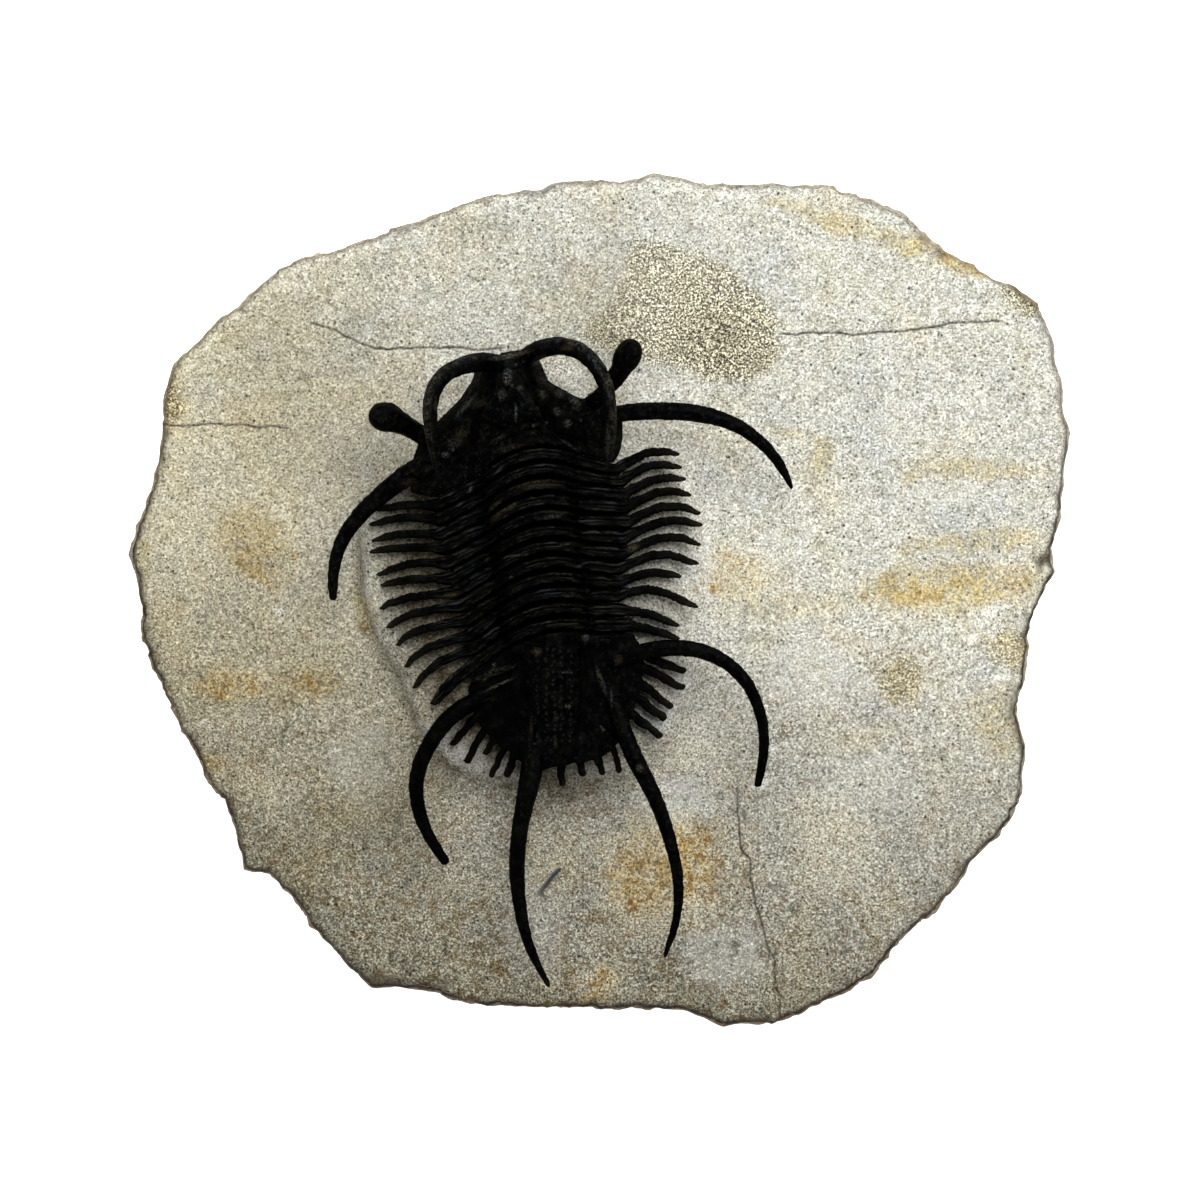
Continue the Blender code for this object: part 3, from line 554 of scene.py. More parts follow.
# Each stain, and each painted shade or highlight: its colour, how it lies on the stone and how far a
# pattern breaks it up.
for name, code, manner, pattern, low, high in (
        ("weathered", "#fbf5e5", "MULTIPLY", mottle, -0.2, 0.3),
        # Painted shade towards the viewer, with brown flecks of dirt:
        ("front_shade_and_dirt", "#d8d6ce", "MULTIPLY", mottle, -0.2, 0.3),
        ("front_shade_and_dirt", "#a49e93", "MULTIPLY", sugar, 0.66, 0.4),
        ("front_shade_and_dirt", "#bfae90", "MULTIPLY", mottle, 0.52, 0.6),
        ("front_shade_and_dirt", "#bfc4c6", "MULTIPLY", mottle, 0.44, 0.34),
        ("front_shade_and_dirt", "#4f3f2b", "MIX", flecks, 0.58, 0.68),
        ("cream", "#e2dcc6", "MIX", sugar, 0.35, 0.75),
        ("grey", "#c6cacc", "MIX", mottle, 0.25, 1.3),
        ("ochre", "#eddaa3", "MULTIPLY", mottle, 0.3, 0.55),
        ("rust", "#dcc597", "MULTIPLY", mottle, 0.35, 0.6),
        ("rust", "#5e4220", "MIX", flecks, 0.51, 0.61),
        ("shade", "#3b372e", "MIX", sugar, 0.35, 0.65),
        # Painted shade at the ledge's foot, chalk with a painted highlight on the lip, and painted shadow
        # round the fossil:
        ("shade_at_ledge_foot", "#dfddd6", "MULTIPLY", mottle, 0.0, 0.4),
        ("chalk_and_lit_lip", "#cccdcb", "MIX", sugar, 0.3, 0.7),
        ("painted_shadow_round_fossil", "#6b604d", "MULTIPLY", mottle, 0.0, 0.6),
        ("scratch", "#2c3034", "MIX", sugar, -0.2, 0.25),
        ("calcite", "#e6e4dc", "MIX", sugar, 0.35, 0.6),
        ("crack", "#2e2921", "MIX", mottle, 0.0, 0.6),
        ("edge", "#6a5842", "MIX", mottle, 0.1, 0.7),
        # The rim's painted shade and brown grime:
        ("rim", "#20170e", "MIX", sugar, 0.0, 0.35)):
    amount = add(limestone, "Attribute", attribute_name=name).outputs["Fac"]
    broken_up = add(limestone, "MapRange", {"Value": pattern, "From Min": low, "From Max": high})
    share = add(limestone, "Math", {0: amount, 1: broken_up}, operation="MULTIPLY")
    body = add(limestone, "Mix", {0: share, 6: body, 7: linear(code)},
               data_type="RGBA", blend_type=manner)
dullness = add(limestone, "MapRange",
               {"Value": grain_value.outputs["Green"], "To Min": 0.62, "To Max": 0.95})
fine_bumps = add(limestone, "Bump", {"Strength": 1.0, "Distance": 0.05 * MM, "Height": sugar})
bumps = add(limestone, "Bump", {"Strength": 0.8, "Distance": 0.16 * MM, "Height": mottle,
                                "Normal": fine_bumps})
feed(stone, {"Base Color": body, "Roughness": dullness, "Normal": bumps,
             "IOR": 1.5, "Specular IOR Level": 0.1})
cover(slab, limestone)
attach(slab, "root")
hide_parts("matrix_slab")


# The head shield: one plate of the animal's skeleton, replaced by black calcite. A high glabella
# stands between the cheeks, its lobes parted by furrows and set with granules. The horns, the
# eye stalks and the genal spines grew with it, and were dug free of the rock from all sides.
PLATE_VOXEL = 0.14
HEAD_TOP = 35.0              # only the horns reach higher
HEAD_EDGE = 28.2
HORN_FREE = 34.0             # above here the horns stand free of the shield
# Swellings of the shield: the oval and its height.
HEAD_LOBES = [
    (-9.8, 23.8, 2.4, 1.0, 100, 0.8), (-12.6, 21.0, 1.3, 0.9, 30, 0.5), (-14.8, 18.0, 1.5, 1.1, 20, 0.6),
    (-5.4, 22.2, 1.3, 0.8, -60, 0.5), (-3.4, 19.6, 1.3, 0.9, -30, 0.5), (-9.4, 20.0, 1.0, 0.8, 90, 0.35),
    (-6.6, 19.2, 0.9, 0.7, 0, 0.35), (-17.2, 17.6, 1.1, 0.9, 0, 0.4), (-0.4, 18.4, 1.2, 1.4, 0, 0.4),
]
# Furrows of the shield: the line, its half width and its depth.
HEAD_FURROWS = [
    ([(-11.6, 25.2), (-11.9, 22.8), (-13.3, 20.0), (-13.6, 17.6), (-15.6, 15.6)], 0.45, 0.75),
    ([(-7.4, 25.4), (-7.2, 22.6), (-5.6, 20.2), (-4.4, 18.0), (-1.6, 17.0)], 0.45, 0.75),
    ([(-12.6, 19.2), (-10.4, 18.2), (-8.0, 19.0), (-5.4, 19.4)], 0.35, 0.45),
    ([(-12.2, 16.6), (-9.6, 18.0), (-7.2, 18.4), (-4.6, 17.6)], 0.25, 0.4),
    ([(-19.2, 14.6), (-16.2, 15.0), (-14.0, 16.4)], 0.35, 0.35),
]
# Grey patches of wear with a painted highlight, bright chips, and the olive rock dust.
HEAD_WEAR_AND_HIGHLIGHTS = [
    (-9.9, 24.1, 0.5, 0.9, 0, 1.0), (-10.5, 22.2, 0.45, 0.7, 0, 0.8), (-8.5, 22.9, 0.5, 0.3, 0, 0.4),
    (-8.95, 20.2, 0.16, 1.1, 0, 0.9), (-3.3, 19.1, 0.5, 0.4, 0, 1.0), (-9.4, 18.6, 0.7, 0.35, 10, 0.5),
    (-6.2, 21.9, 0.35, 0.9, 0, 0.6), (-4.5, 20.4, 0.4, 0.5, 0, 0.6), (-2.6, 21.6, 0.8, 0.4, -30, 0.7),
    (-4.2, 22.4, 0.6, 0.5, -30, 0.5), (-14.4, 21.2, 1.9, 0.3, 48, 0.7), (-11.0, 17.3, 1.3, 0.3, 28, 0.6),
    (-9.6, 26.5, 2.4, 0.35, 12, 0.8), (-16.7, 15.8, 0.5, 0.35, 0, 0.7), (-4.0, 17.4, 2.2, 0.14, -35, 0.6),
    (-6.4, 26.0, 1.2, 0.4, 20, 0.4), (-15.8, 17.0, 0.9, 0.7, 0, 0.4), (1.0, 17.0, 0.3, 2.2, 0, 0.5),
]
HEAD_DUST = [
    (-13.1, 21.3, 1.1, 0.6, 0, 0.6), (-15.0, 17.7, 0.8, 1.0, 0, 0.9), (-6.0, 22.0, 0.6, 0.9, 0, 0.5),
    (-9.0, 16.4, 2.5, 0.5, 5, 0.4), (-17.5, 21.0, 0.2, 0.9, 0, 1.0), (-3.4, 27.0, 0.8, 0.3, 0, 1.0),
    (0.7, 14.1, 0.35, 0.8, 0, 1.0), (-20.4, 12.6, 1.0, 0.7, 0, 0.7), (-2.4, 20.9, 0.6, 0.3, 0, 0.5),
]
HEAD_GRANULES = [
    (-8.9, 25.6), (-8.3, 25.7), (-9.4, 24.9), (-5.5, 19.3), (-7.2, 19.0), (-1.8, 19.4), (-4.6, 20.5),
    (-3.3, 19.2), (-17.5, 17.6), (-15.8, 16.1), (-9.2, 23.0), (-10.1, 22.0),
]
HORN_MIDDLE = (-8.0, 19.5)
HORN_CROTCH = (0.1, 21.3)
EYES = ((-23.9, 20.3), (3.2, 27.2))
EYE_FILL = 0.12
SPINE_ENDS = ((-29.2, 0.0), (21.3, 12.0))
LIMB_FILL = 0.07             # what smoothing takes off the round limbs
CROTCH_FILL = 3.5            # as many times more where the right horn leaves the shield


def out_along_normals(piece, rise):
    """Moves each vertex out along its normal."""
    move_to(piece, places_of(piece) + normals_of(piece) * rise[:, None])


def upper_face(piece, top, steepest, flattest):
    """From 0 to 1, how much each vertex belongs to a shield's upper face."""
    return step(steepest, flattest, normals_of(piece)[:, 2]) * (places_of(piece)[:, 2] < top)


def swell_out(piece, lobes, top):
    """Raises rounded lobes on a shield's upper face."""
    flat = places_of(piece)[:, :2]
    rise = np.max([height * np.exp(-1.3 * oval_reach(oval, flat) ** 2)
                   for *oval, height in lobes], axis=0)
    out_along_normals(piece, rise * upper_face(piece, top, 0.05, 0.5))


def cut_furrows(piece, furrows, top):
    """Sinks furrows into a shield's upper face, and tells how deep."""
    places = places_of(piece)
    shaken = places + 0.15 * grain(places, 1.5, 11, 2)[:, None]
    depth = np.max([deep * np.exp(-(distance_to(line, shaken) / half_width) ** 2)
                    for line, half_width, deep in furrows], axis=0)
    depth *= upper_face(piece, top, 0.05, 0.4)
    out_along_normals(piece, -depth)
    return depth


def stud(piece, seeds, radius, height):
    """Raises a rounded granule at each seed place, and tells how far each vertex is up on one."""
    places = places_of(piece)
    tree = kdtree.KDTree(len(places))
    for number, place in enumerate(places):
        tree.insert(place, number)
    tree.balance()
    rise = np.zeros(len(places))
    for x, y, z, size in seeds:
        for place, number, reach in tree.find_range((x, y, z), 2 * radius * size):
            rise[number] = max(rise[number], size * math.exp(-(reach / (radius * size)) ** 2 * 1.5))
    out_along_normals(piece, height * rise)
    return np.clip(rise, 0, 1)


def scatter(piece, count, seed, wanted, smallest=0.4):
    """Picks seed places for granules at random among the wanted vertices."""
    places = places_of(piece)
    draw = random.Random(seed)
    found = np.flatnonzero(wanted)
    return [(*places[found[draw.randrange(len(found))]], draw.uniform(smallest, 1.0))
            for number in range(count)]


def on_top(piece, spots, top):
    """The place of each spot in plan on a shield's upper face."""
    places = places_of(piece)
    upper = places[places[:, 2] < top]
    found = []
    for x, y in spots:
        near = upper[np.hypot(upper[:, 0] - x, upper[:, 1] - y) < 0.25]
        if len(near):
            found.append((*near[np.argmax(near[:, 2])], 1.0))
    return found


def weather(piece, seed):
    """Fine wrinkles all over a plate."""
    places = places_of(piece)
    out_along_normals(piece, 0.05 * grain(places, 0.8, seed) + 0.03 * grain(places, 0.35, seed + 1, 2))


head = copy_of("cephalon", "head_shield", PLATE_VOXEL, 8)

# The eyes are round knobs, and the spines end bluntly.
places = places_of(head)
near_eye = 1 - step(1.8, 2.8, distance_to_spots(EYES, places))
near_end = 1 - step(0.6, 1.4, distance_to_spots(SPINE_ENDS, places))
ease_where(head, np.maximum(near_eye, near_end), 25)
places, normals = places_of(head), normals_of(head)
places += normals * (EYE_FILL * near_eye)[:, None]
x, y, z = places.T
limbs = 1 - step(-20.5, -18.5, x) * step(3.5, 1.5, x) * step(HORN_FREE, HORN_FREE - 2, z)
crotch = np.exp(-(distance_to_spots([HORN_CROTCH], places) / 0.9) ** 2)
limbs += CROTCH_FILL * crotch * (z < HORN_FREE)
move_to(head, places + normals * (LIMB_FILL * limbs)[:, None])
swell_out(head, HEAD_LOBES, HEAD_TOP)
sunk = cut_furrows(head, HEAD_FURROWS, HEAD_TOP)
weather(head, 12)

# Granules, the finer ones at random over the shield.
places, normals = places_of(head), normals_of(head)
x, y, z = places.T
on_shield = (normals[:, 2] > 0.1) & (z < HEAD_TOP) & (z > HEAD_EDGE) & (x > -18.5) & (x < 2.0)
fine = stud(head, scatter(head, 420, 1, on_shield), 0.24, 0.13)
large = stud(head, on_top(head, HEAD_GRANULES, HEAD_TOP), 0.3, 0.22)

# Painted highlights on the upper outer sides of the horns, grey wear with a painted highlight on the
# shield and fine painted glints on its upward faces, and dust low down on it.
places = places_of(head)
x, y, z = places.T
up = normals[:, 2]
outward = places[:, :2] - HORN_MIDDLE
outward /= np.maximum(np.linalg.norm(outward, axis=1), 1)[:, None]
outer = (outward * normals[:, :2]).sum(axis=1) + 0.35 * up
horn = step(34.5, 37.0, z) * step(-21, -19.5, x) * step(3.2, 2.2, x) * step(12.0, 21.0, y)
wear_and_highlight = 0.5 * horn * step(-0.1, 0.6, outer) * step(-0.6, 0.4, grain(places, 0.9, 31, 2))
wear_and_highlight = np.maximum(wear_and_highlight, spread(HEAD_WEAR_AND_HIGHLIGHTS, places) * step(0.0, 0.4, up))
wear_and_highlight = np.maximum(wear_and_highlight, 0.12 * step(0.1, 0.5, grain(places, 0.5, 32, 2)) * step(0.1, 0.7, up))
paint(head, "wear_and_highlight", wear_and_highlight * (1 - 0.9 * step(0.1, 0.4, sunk)))
paint(head, "granule", np.maximum(0.55 * fine, large))
paint(head, "dust", np.maximum(0.5 * spread(HEAD_DUST, places), 0.15 * step(29.5, 27.6, z)))

# Black calcite: the shell's mineral, stained by organic matter and left satin by the abrasive. It
# is nearly black, with a cool grey sheen on worn ridges painted into its colour, and olive-brown rock
# dust in hollows.
shell_black, shell = new_material("black calcite shell")
where = add(shell_black, "TexCoord").outputs["Object"]
smudge, fleck, waviness, drift = [
    add(shell_black, "TexNoise", {"Vector": where, "Scale": per_size(size),
                                  "Detail": detail, "Roughness": roughness})
    for size, detail, roughness in ((1.6, 4.0, 0.65), (0.22, 2.0, 0.6), (1.6, 2.0, 0.5),
                                    (2.4, 2.0, 0.5))]
painted = {name: add(shell_black, "Attribute", attribute_name=name).outputs["Fac"]
           for name in ("dust", "across", "ribbed_highlight", "wear_and_highlight", "granule")}
speckle, fretted = [
    add(shell_black, "MapRange", {"Value": fleck, "From Min": low, "From Max": high})
    for low, high in ((0.34, 0.8), (0.4, 0.6))]
# Fine striations run along the body rings as painted highlights, a few to each plate, wavy and often
# interrupted.
LINES_PER_RING = 4.0
phase = add(shell_black, "Math", {0: painted["across"], 1: LINES_PER_RING, 2: waviness},
            operation="MULTIPLY_ADD")
zigzag = add(shell_black, "Math", {0: phase, 1: 0.5}, operation="PINGPONG")
stria = add(shell_black, "MapRange", {"Value": zigzag, "From Min": 0.33, "From Max": 0.47})
stretched = add(shell_black, "Mapping", {"Vector": where, "Scale": (0.35, 1.0, 1.0)})
gaps = add(shell_black, "TexNoise", {"Vector": stretched, "Scale": per_size(0.8),
                                     "Detail": 2.0, "Roughness": 0.6})
unbroken = add(shell_black, "MapRange", {"Value": gaps, "From Min": 0.46, "From Max": 0.62})
stria = add(shell_black, "Math", {0: stria, 1: unbroken}, operation="MULTIPLY")
# Worn crests and their painted highlights are grey, some bluish and some olive, and broken up by the
# grain of the mineral.
wear_and_highlight_tone = with_stops(add(shell_black, "ValToRGB", {"Fac": drift}),
                       [(0.34, "#3a4145"), (0.42, "#3a3b39"), (0.54, "#3c3b34"), (0.66, "#434133")])
shade = with_stops(add(shell_black, "ValToRGB", {"Fac": smudge}),
                   [(0.3, "#000000"), (0.5, "#010101"), (0.64, "#050504"), (0.8, "#0d0c09")])
for name, pattern, colour in (("dust", speckle, linear("#3f3a29")), ("wear_and_highlight", fretted, wear_and_highlight_tone),
                              ("ribbed_highlight", stria, wear_and_highlight_tone)):
    share = add(shell_black, "Math", {0: painted[name], 1: pattern}, operation="MULTIPLY")
    shade = add(shell_black, "Mix", {0: share, 6: shade, 7: colour}, data_type="RGBA")
rounded = add(shell_black, "Math", {0: painted["granule"], 1: 3.0}, operation="POWER")
shade = add(shell_black, "Mix", {0: rounded, 6: shade, 7: linear("#2b2d2c")}, data_type="RGBA")
satin = add(shell_black, "MapRange", {"Value": smudge, "From Min": 0.3, "From Max": 0.7,
                                      "To Min": 0.36, "To Max": 0.6})
bumps = add(shell_black, "Bump", {"Strength": 0.7, "Distance": 0.04 * MM, "Height": fleck})
feed(shell, {"Base Color": shade, "Roughness": satin, "Normal": bumps,
             "IOR": 1.5, "Specular IOR Level": 0.012})
cover(head, shell_black)
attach(head, "root")
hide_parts("cephalon")


# The body rings: twelve plates hinged one behind the other, each a raised band over the axis and a
# flat rib on both sides that runs out into a spine. Two thin worn ridges run along each plate, with
# a furrow between them, and a deep groove on either side parts the axis from the ribs.
RING_COUNT = 12
RING_VOXEL = 0.126
GAP_FILL = 0.11              # the plates nearly touch, as the real ones overlap
PLEURA_LEFT, PLEURA_RIGHT = -18.5, 4.0
RIB_END = 1.5
FURROW_DEPTH = 0.32
FURROW_PLACE = 0.47
FURROW_WIDTH = 0.12
# Ridges: their place across the plate, from 0 in front to 1 behind, half width and strength.
RIDGES = ((0.2, 0.085, 1.0), (0.73, 0.095, 0.8))
RIDGE_HEIGHT = 0.2
AXIAL_GROOVES = (
    [(-13.3, 12.6), (-12.4, 7.0), (-11.2, 1.6), (-10.4, -4.4)],
    [(-2.7, 12.4), (-1.9, 6.0), (-1.2, 1.0), (-0.8, -3.4)],
)
GROOVE_WIDTH = 0.5
GROOVE_DEPTH = 0.4
WOOD_RELIEF = 0.05
WRINKLE = 0.035
BAND_TOP = 31.5
# Stretches of the ridges with a painted highlight, and olive rock dust left among them.
RING_HIGHLIGHTS = [
    (-9.6, 14.3, 1.5, 0.15, 32, 1.0), (-11.2, 13.6, 1.4, 0.14, 48, 0.8), (-7.0, 14.8, 1.0, 0.13, 8, 0.8),
    (-3.3, 6.1, 1.3, 0.16, 15, 0.9), (-2.2, 3.6, 1.4, 0.16, 24, 1.0), (-9.7, 10.3, 1.0, 0.2, 38, 0.9),
    (-8.8, 4.8, 2.2, 0.12, 6, 0.6), (-14.8, 5.2, 1.6, 0.12, 14, 0.6), (-15.4, 2.0, 1.2, 0.12, 20, 0.6),
    (-14.9, 9.0, 1.1, 0.12, 12, 0.6), (-15.5, 7.4, 1.6, 0.11, 14, 0.5), (2.2, 11.0, 1.4, 0.15, 8, 0.6),
    (-5.0, 9.0, 1.2, 0.2, 10, 0.5), (-6.0, 1.0, 1.5, 0.12, 8, 0.5), (-9.3, 2.3, 0.5, 0.1, -25, 1.0),
    (-1.2, 1.1, 0.25, 0.3, 0, 1.0), (-14.0, 12.0, 0.5, 0.2, 60, 0.8), (-1.0, 8.6, 1.6, 0.13, 4, 0.5),
]
RING_DUST = [
    (-11.2, 9.6, 0.7, 1.1, -20, 1.0), (-9.6, 10.2, 1.2, 0.4, 38, 0.8), (-7.0, 12.6, 2.6, 0.8, 0, 0.35),
    (-4.6, 9.8, 1.6, 0.7, 0, 0.35), (-16.6, 0.2, 1.8, 0.4, 20, 0.6), (-14.6, 7.6, 0.9, 0.3, 10, 0.5),
    (3.7, 5.6, 0.8, 0.4, 25, 0.8), (-3.0, 0.0, 1.6, 0.6, 0, 0.3), (-12.0, 4.2, 0.4, 0.5, 0, 0.5),
]
BIN = 0.4


def across_ring(places):
    """Where each place lies between a ring's front edge, 0, and its rear edge, 1."""
    left = places[:, 0].min()
    bins = ((places[:, 0] - left) / BIN).astype(int)
    count = bins.max() + 1
    front, rear = np.full(count, -1e9), np.full(count, 1e9)
    np.maximum.at(front, bins, places[:, 1])
    np.minimum.at(rear, bins, places[:, 1])
    middles = left + (np.arange(count) + 0.5) * BIN
    ahead = np.interp(places[:, 0], middles, front)
    behind = np.interp(places[:, 0], middles, rear)
    return np.clip((ahead - places[:, 1]) / np.maximum(ahead - behind, 0.1), 0, 1)


SPINE_BIN = 0.2
SPINE_EVENING = 24           # rounds that even out a spine's middle line
SPINE_WAVE = 0.1
TAPER_LENGTH = 1.8
TAPER_BLUNTNESS = 0.6
TIP_SHARE = 0.6


def flow(places, wanted, seed):
    """Rounds off a spine's bends, waves it a little and draws its end out to a blunt point."""
    spine = places[wanted]
    reach = np.abs(spine[:, 0])
    bins = ((reach - reach.min()) / SPINE_BIN).astype(int)
    count = np.maximum(np.bincount(bins), 1)
    middle = np.stack([np.bincount(bins, spine[:, axis]) / count for axis in (1, 2)], axis=1)
    evened = middle.copy()
    for turn in range(SPINE_EVENING):
        evened[1:-1] = (evened[:-2] + 2 * evened[1:-1] + evened[2:]) / 4
    stations = reach.min() + (np.arange(len(count)) + 0.5) * SPINE_BIN
    before, after = [np.stack([np.interp(reach, stations, line[:, axis]) for axis in (0, 1)], axis=1)
                     for line in (middle, evened)]
    along = np.column_stack([reach, np.full(len(reach), seed * 3.7), np.zeros(len(reach))])
    after[:, 0] += SPINE_WAVE * grain(along, 1.5, seed, 2) * step(0, 1.5, reach - reach.min())
    narrowing = step(0, TAPER_LENGTH, reach.max() - reach) ** TAPER_BLUNTNESS
    taper = TIP_SHARE + (1 - TIP_SHARE) * narrowing
    spine[:, 1:] = after + (spine[:, 1:] - before) * taper[:, None]
    places[wanted] = spine


for number in range(1, RING_COUNT + 1):
    node = f"thoracic_segment_{number:02d}"
    ring = copy_of(node, f"body_ring_{number:02d}", RING_VOXEL, 5)
    places, normals = places_of(ring), normals_of(ring)
    x, y, z = places.T
    up = normals[:, 2]
    across = across_ring(places)
    body = step(PLEURA_LEFT, PLEURA_LEFT + RIB_END, x) * step(PLEURA_RIGHT, PLEURA_RIGHT - RIB_END, x)
    standing = 1 - step(0.3, 0.8, np.abs(up))
    places += normals * (1, 1, 0) * (body * standing * GAP_FILL)[:, None]
    places += normals * ((1 - body) * LIMB_FILL)[:, None]
    flow(places, x < PLEURA_LEFT + 1.0, number)
    flow(places, x > PLEURA_RIGHT - 1.0, 30 + number)
    facing = step(0.1, 0.6, up)
    wood = grain(places, (2.4, 0.6, 2.4), 20 + number)
    shifted = across + 0.06 * wood
    crest = np.zeros(len(places))
    for place, half_width, strength in RIDGES:
        broken = step(-0.45, 0.35, grain(places, (1.7, 1.2, 1.7), 80 + number + 20 * place, 2))
        line = strength * np.exp(-((shifted - place) / half_width) ** 2)
        crest = np.maximum(crest, line * (0.25 + 0.75 * broken))
    furrow = np.exp(-((shifted - FURROW_PLACE) / FURROW_WIDTH) ** 2)
    groove = np.max([np.exp(-(distance_to(line, places) / GROOVE_WIDTH) ** 2)
                     for line in AXIAL_GROOVES], axis=0)
    rise = RIDGE_HEIGHT * crest - FURROW_DEPTH * furrow * (0.7 + 0.4 * wood) + WOOD_RELIEF * wood
    rise = rise * (0.3 + 0.7 * body) - GROOVE_DEPTH * groove
    places += normals * (facing * rise + WRINKLE * grain(places, 0.6, 40 + number))[:, None]
    move_to(ring, places)
    mottled = step(-0.3, 0.5, grain(places, (1.1, 0.5, 1.1), 120 + number, 2))
    lit_share = facing * (0.25 + 0.75 * body) * (1 - 0.85 * groove)
    # Painted highlights, with wear, on the ridge crests and bright stretches, on faces turned upwards.
    wear_and_highlight = np.maximum(0.32 * crest * mottled * lit_share, 0.8 * facing * spread(RING_HIGHLIGHTS, places))
    paint(ring, "wear_and_highlight", wear_and_highlight)
    paint(ring, "across", across)
    # Painted highlight for the striations, on the upward faces outside the grooves.
    paint(ring, "ribbed_highlight", 0.36 * lit_share)
    dusty = spread(RING_DUST, places) * facing
    paint(ring, "dust", np.maximum(0.6 * step(28.6, 27.5, z) * (1 - body), dusty))
    seeds = scatter(ring, 26, 60 + number, (up > 0.4) & (z > BAND_TOP))
    paint(ring, "granule", 0.7 * stud(ring, seeds, 0.2, 0.1))
    cover(ring, shell_black)
    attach(ring, "root")
    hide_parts(node)


# The tail shield: the last plate, grown together from several rings. Its axis is set with rows of
# granules, raised blades cross its sides, and four long curved spines and fourteen short ones
# grew from its edge.
TAIL_TOP = 34.0
TAIL_BLADES = [
    (-11.2, -9.5, 2.0, 0.35, 25, 0.5), (-10.8, -7.9, 2.6, 0.45, 18, 0.4),
    (0.3, -8.7, 1.9, 0.35, -68, 0.5), (2.0, -8.2, 2.0, 0.45, -75, 0.35), (-1.5, -4.9, 0.7, 0.7, 0, 0.6),
    (-6.6, -6.0, 0.5, 0.5, 0, 0.4), (-4.8, -9.0, 5.5, 1.5, 92, 0.5),
]
TAIL_FURROWS = [
    ([(-8.8, -6.6), (-8.2, -11.0), (-7.2, -15.0)], 0.5, 0.5),
    ([(-1.6, -6.0), (-1.4, -10.5), (-1.8, -14.6)], 0.5, 0.5),
    ([(-13.0, -8.6), (-9.4, -7.2)], 0.25, 0.3),
    ([(-12.4, -11.0), (-8.8, -9.6)], 0.25, 0.3),
]
TAIL_WEAR_AND_HIGHLIGHTS = [
    (-10.9, -9.3, 1.9, 0.16, 25, 0.9), (-11.2, -7.9, 2.8, 0.3, 20, 0.5), (0.3, -8.9, 1.7, 0.3, -70, 0.7),
    (1.4, -10.9, 0.15, 1.2, 0, 0.6), (0.4, -14.1, 0.5, 0.15, -45, 1.0), (-1.4, -4.1, 0.45, 0.45, 0, 0.8),
    (-12.0, -8.2, 1.2, 0.2, 50, 0.6), (-3.6, -7.9, 0.8, 0.12, 0, 0.8), (4.5, -18.4, 0.5, 0.4, -50, 0.8),
    (-11.4, -7.1, 0.2, 0.2, 0, 1.0), (-3.4, -11.6, 0.3, 0.2, 0, 1.0),
]
TAIL_DUST = [
    (-6.7, -5.6, 0.6, 0.4, 0, 1.0), (-7.3, -13.6, 0.2, 1.1, 0, 1.0), (-4.7, -15.6, 0.2, 0.7, 0, 0.8),
    (-4.6, -12.8, 0.3, 0.4, 0, 0.8), (-3.3, -11.6, 0.4, 0.3, 0, 0.8), (2.2, -6.6, 0.5, 0.5, 0, 0.6),
]
# Where the four long spines run out of the shield, and where they end.
TAIL_JOINS = ((-13.0, -10.8), (-7.0, -15.6), (2.0, -12.4), (2.6, -6.4))
TAIL_ENDS = ((-16.7, -29.3), (-5.1, -42.7), (7.3, -39.1), (17.5, -20.7))
SHORT_SPINE_WAVE = 0.22
SHORT_SPINE_FILL = 0.09
GRANULE_ROWS = (-6.9, -5.9, -4.9, -3.9, -2.9)
GRANULE_SPACING = 0.62
GRANULE_STRAY = 0.2

tail = copy_of("pygidium", "tail_shield", PLATE_VOXEL, 8)
places = places_of(tail)
near_join = 1 - step(1.0, 2.2, distance_to_spots(TAIL_JOINS, places))
near_end = 1 - step(0.6, 1.4, distance_to_spots(TAIL_ENDS, places))
ease_where(tail, np.maximum(near_join, near_end), 20)
x, y, z = places_of(tail).T
core = step(-19.0, -16.5, y) * step(-14.5, -12.5, x) * step(4.5, 2.5, x)
out_along_normals(tail, LIMB_FILL * (1 - core))

# The short spines are wavy.
places = places_of(tail)
x, y, z = places.T
from_middle = np.hypot((x + 5) / 10, (y + 9.5) / 8)
short = step(0.8, 1.1, from_middle) * step(1.9, 1.6, from_middle) * step(29.6, 28.8, z)
for axis in (0, 1):
    places[:, axis] += SHORT_SPINE_WAVE * short * grain(places * (1, 1, 0), 1.7, 50 + axis, 2)
places += normals_of(tail) * (SHORT_SPINE_FILL * short)[:, None]
move_to(tail, places)
swell_out(tail, TAIL_BLADES, TAIL_TOP)
sunk = cut_furrows(tail, TAIL_FURROWS, TAIL_TOP)
weather(tail, 14)

# Granules: large ones in rows along the axis, and finer ones at random over the shield.
draw = random.Random(3)
rows = [(x + draw.uniform(-GRANULE_STRAY, GRANULE_STRAY), y + draw.uniform(-GRANULE_STRAY, GRANULE_STRAY))
        for x in GRANULE_ROWS for y in np.arange(-15.6, -5.6, GRANULE_SPACING)]
large = stud(tail, on_top(tail, rows, TAIL_TOP), 0.24, 0.16)
places = places_of(tail)
x, y, z = places.T
up = normals_of(tail)[:, 2]
on_shield = (up > 0.1) & (y > -17.5) & (np.abs(x + 5) < 8.5)
fine = stud(tail, scatter(tail, 260, 4, on_shield), 0.2, 0.1)
paint(tail, "granule", np.maximum(0.4 * fine, 0.75 * large))
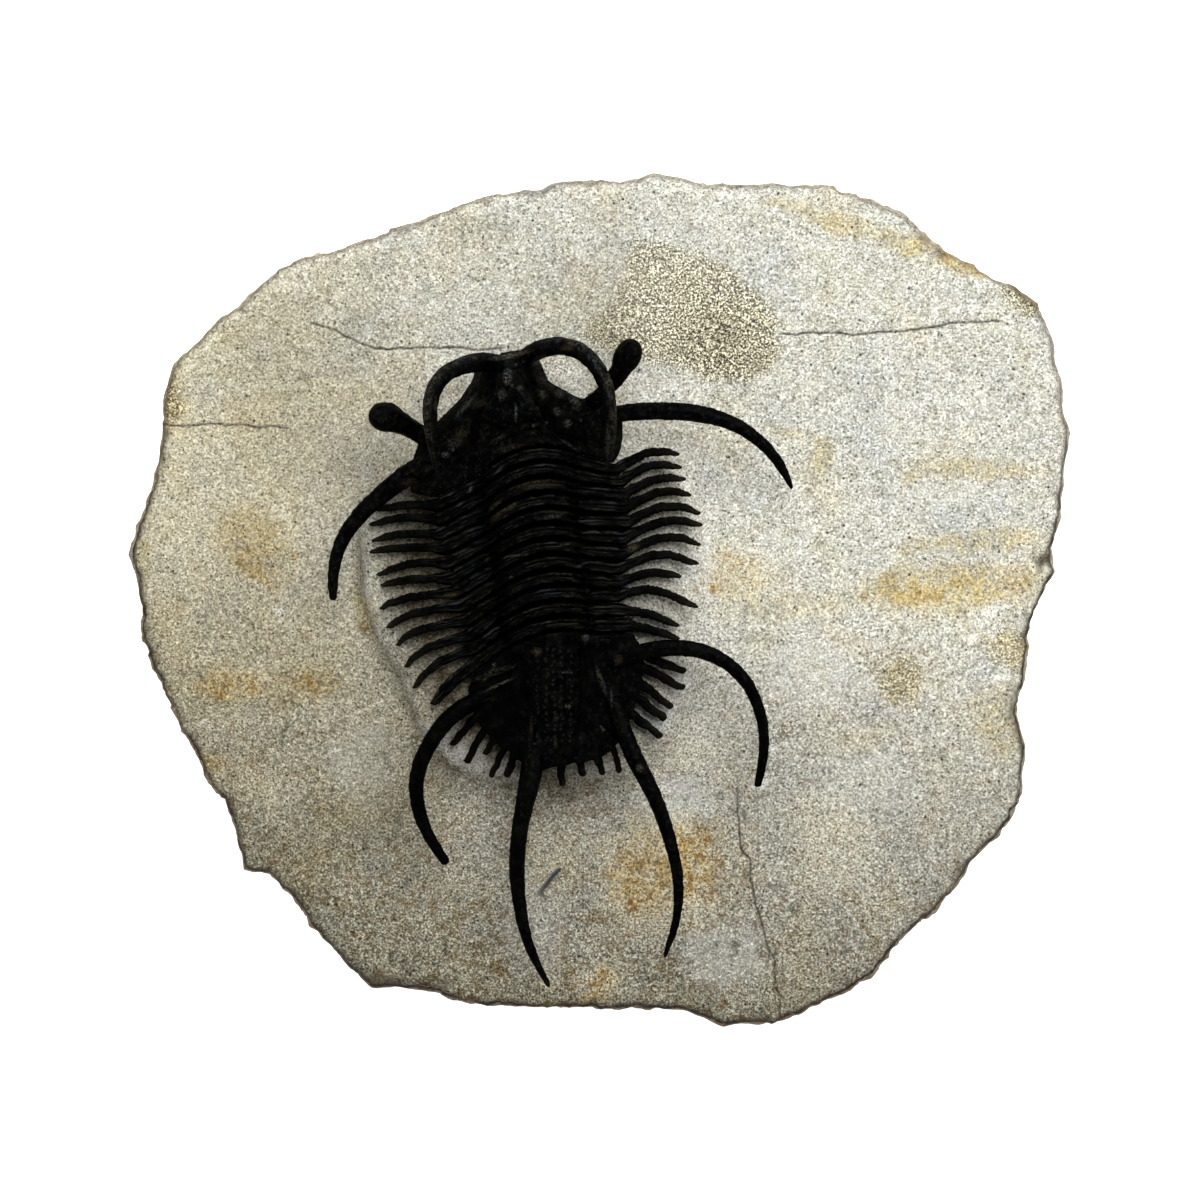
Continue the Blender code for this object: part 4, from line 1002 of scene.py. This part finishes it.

# Wear and painted highlights on the shield and its blades, with fine painted glints on its right side,
# and dust in the hollows and low down.
speckled = 0.08 * step(0.15, 0.5, grain(places, 0.45, 33, 2)) * (x > -8.5)
wear_and_highlight = np.maximum(0.75 * spread(TAIL_WEAR_AND_HIGHLIGHTS, places), speckled) * step(0.0, 0.4, up)
paint(tail, "wear_and_highlight", wear_and_highlight * (1 - 0.9 * step(0.1, 0.4, sunk)))
dusty = 0.6 * spread(TAIL_DUST, places) * step(0.0, 0.4, up)
low_down = (0.2 + 0.25 * step(2.5, 5.0, x)) * step(28.6, 27.5, z)
paint(tail, "dust", np.maximum(dusty, low_down))
cover(tail, shell_black)
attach(tail, "root")
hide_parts("pygidium")


# The studio: a plain white table and wide soft lamps, the main one beyond the head. The table lies
# a hair under the sawn base, so that the two faces don't flicker. Lengths here are metres.
TABLE_HALF = 1.5
TABLE_DROP = 0.00005
bpy.ops.object.select_all(action="DESELECT")
bpy.ops.mesh.primitive_plane_add(size=2 * TABLE_HALF, location=(0, 0, -TABLE_DROP))
floor = bpy.context.object
floor.name = floor.data.name = "table_top"
paper, sheet = new_material("white card")
feed(sheet, {"Base Color": linear("#f7f7f7"), "Roughness": 0.9, "Specular IOR Level": 0.1,
             "Emission Color": linear("#ffffff"), "Emission Strength": 0.75})
floor.data.materials.append(paper)

# Each lamp: its place, its width and its power.
LAMPS = {
    "main_lamp": ((0.1, 0.27, 0.34), 0.42, 3.2),
    "left_lamp": ((-0.5, 0.05, 0.4), 0.5, 1.5),
    "right_lamp": ((0.5, 0.1, 0.4), 0.5, 1.4),
    "front_lamp": ((0.0, -0.55, 0.45), 0.5, 1.4),
}
for name, (place, width, power) in LAMPS.items():
    lamp = bpy.data.objects.new(name, bpy.data.lights.new(name, "AREA"))
    bpy.context.scene.collection.objects.link(lamp)
    lamp.data.shape = "DISK"
    lamp.data.size = width
    lamp.data.energy = power
    lamp.location = place
    lamp.rotation_euler = (-Vector(place)).to_track_quat("-Z", "Y").to_euler()

world = bpy.data.worlds.new("studio")
world.use_nodes = True
feed(world.node_tree.nodes["Background"], {"Color": linear("#ffffff"), "Strength": 0.15})
bpy.context.scene.world = world
bpy.context.scene.view_settings.view_transform = "Standard"

bpy.context.view_layer.update()
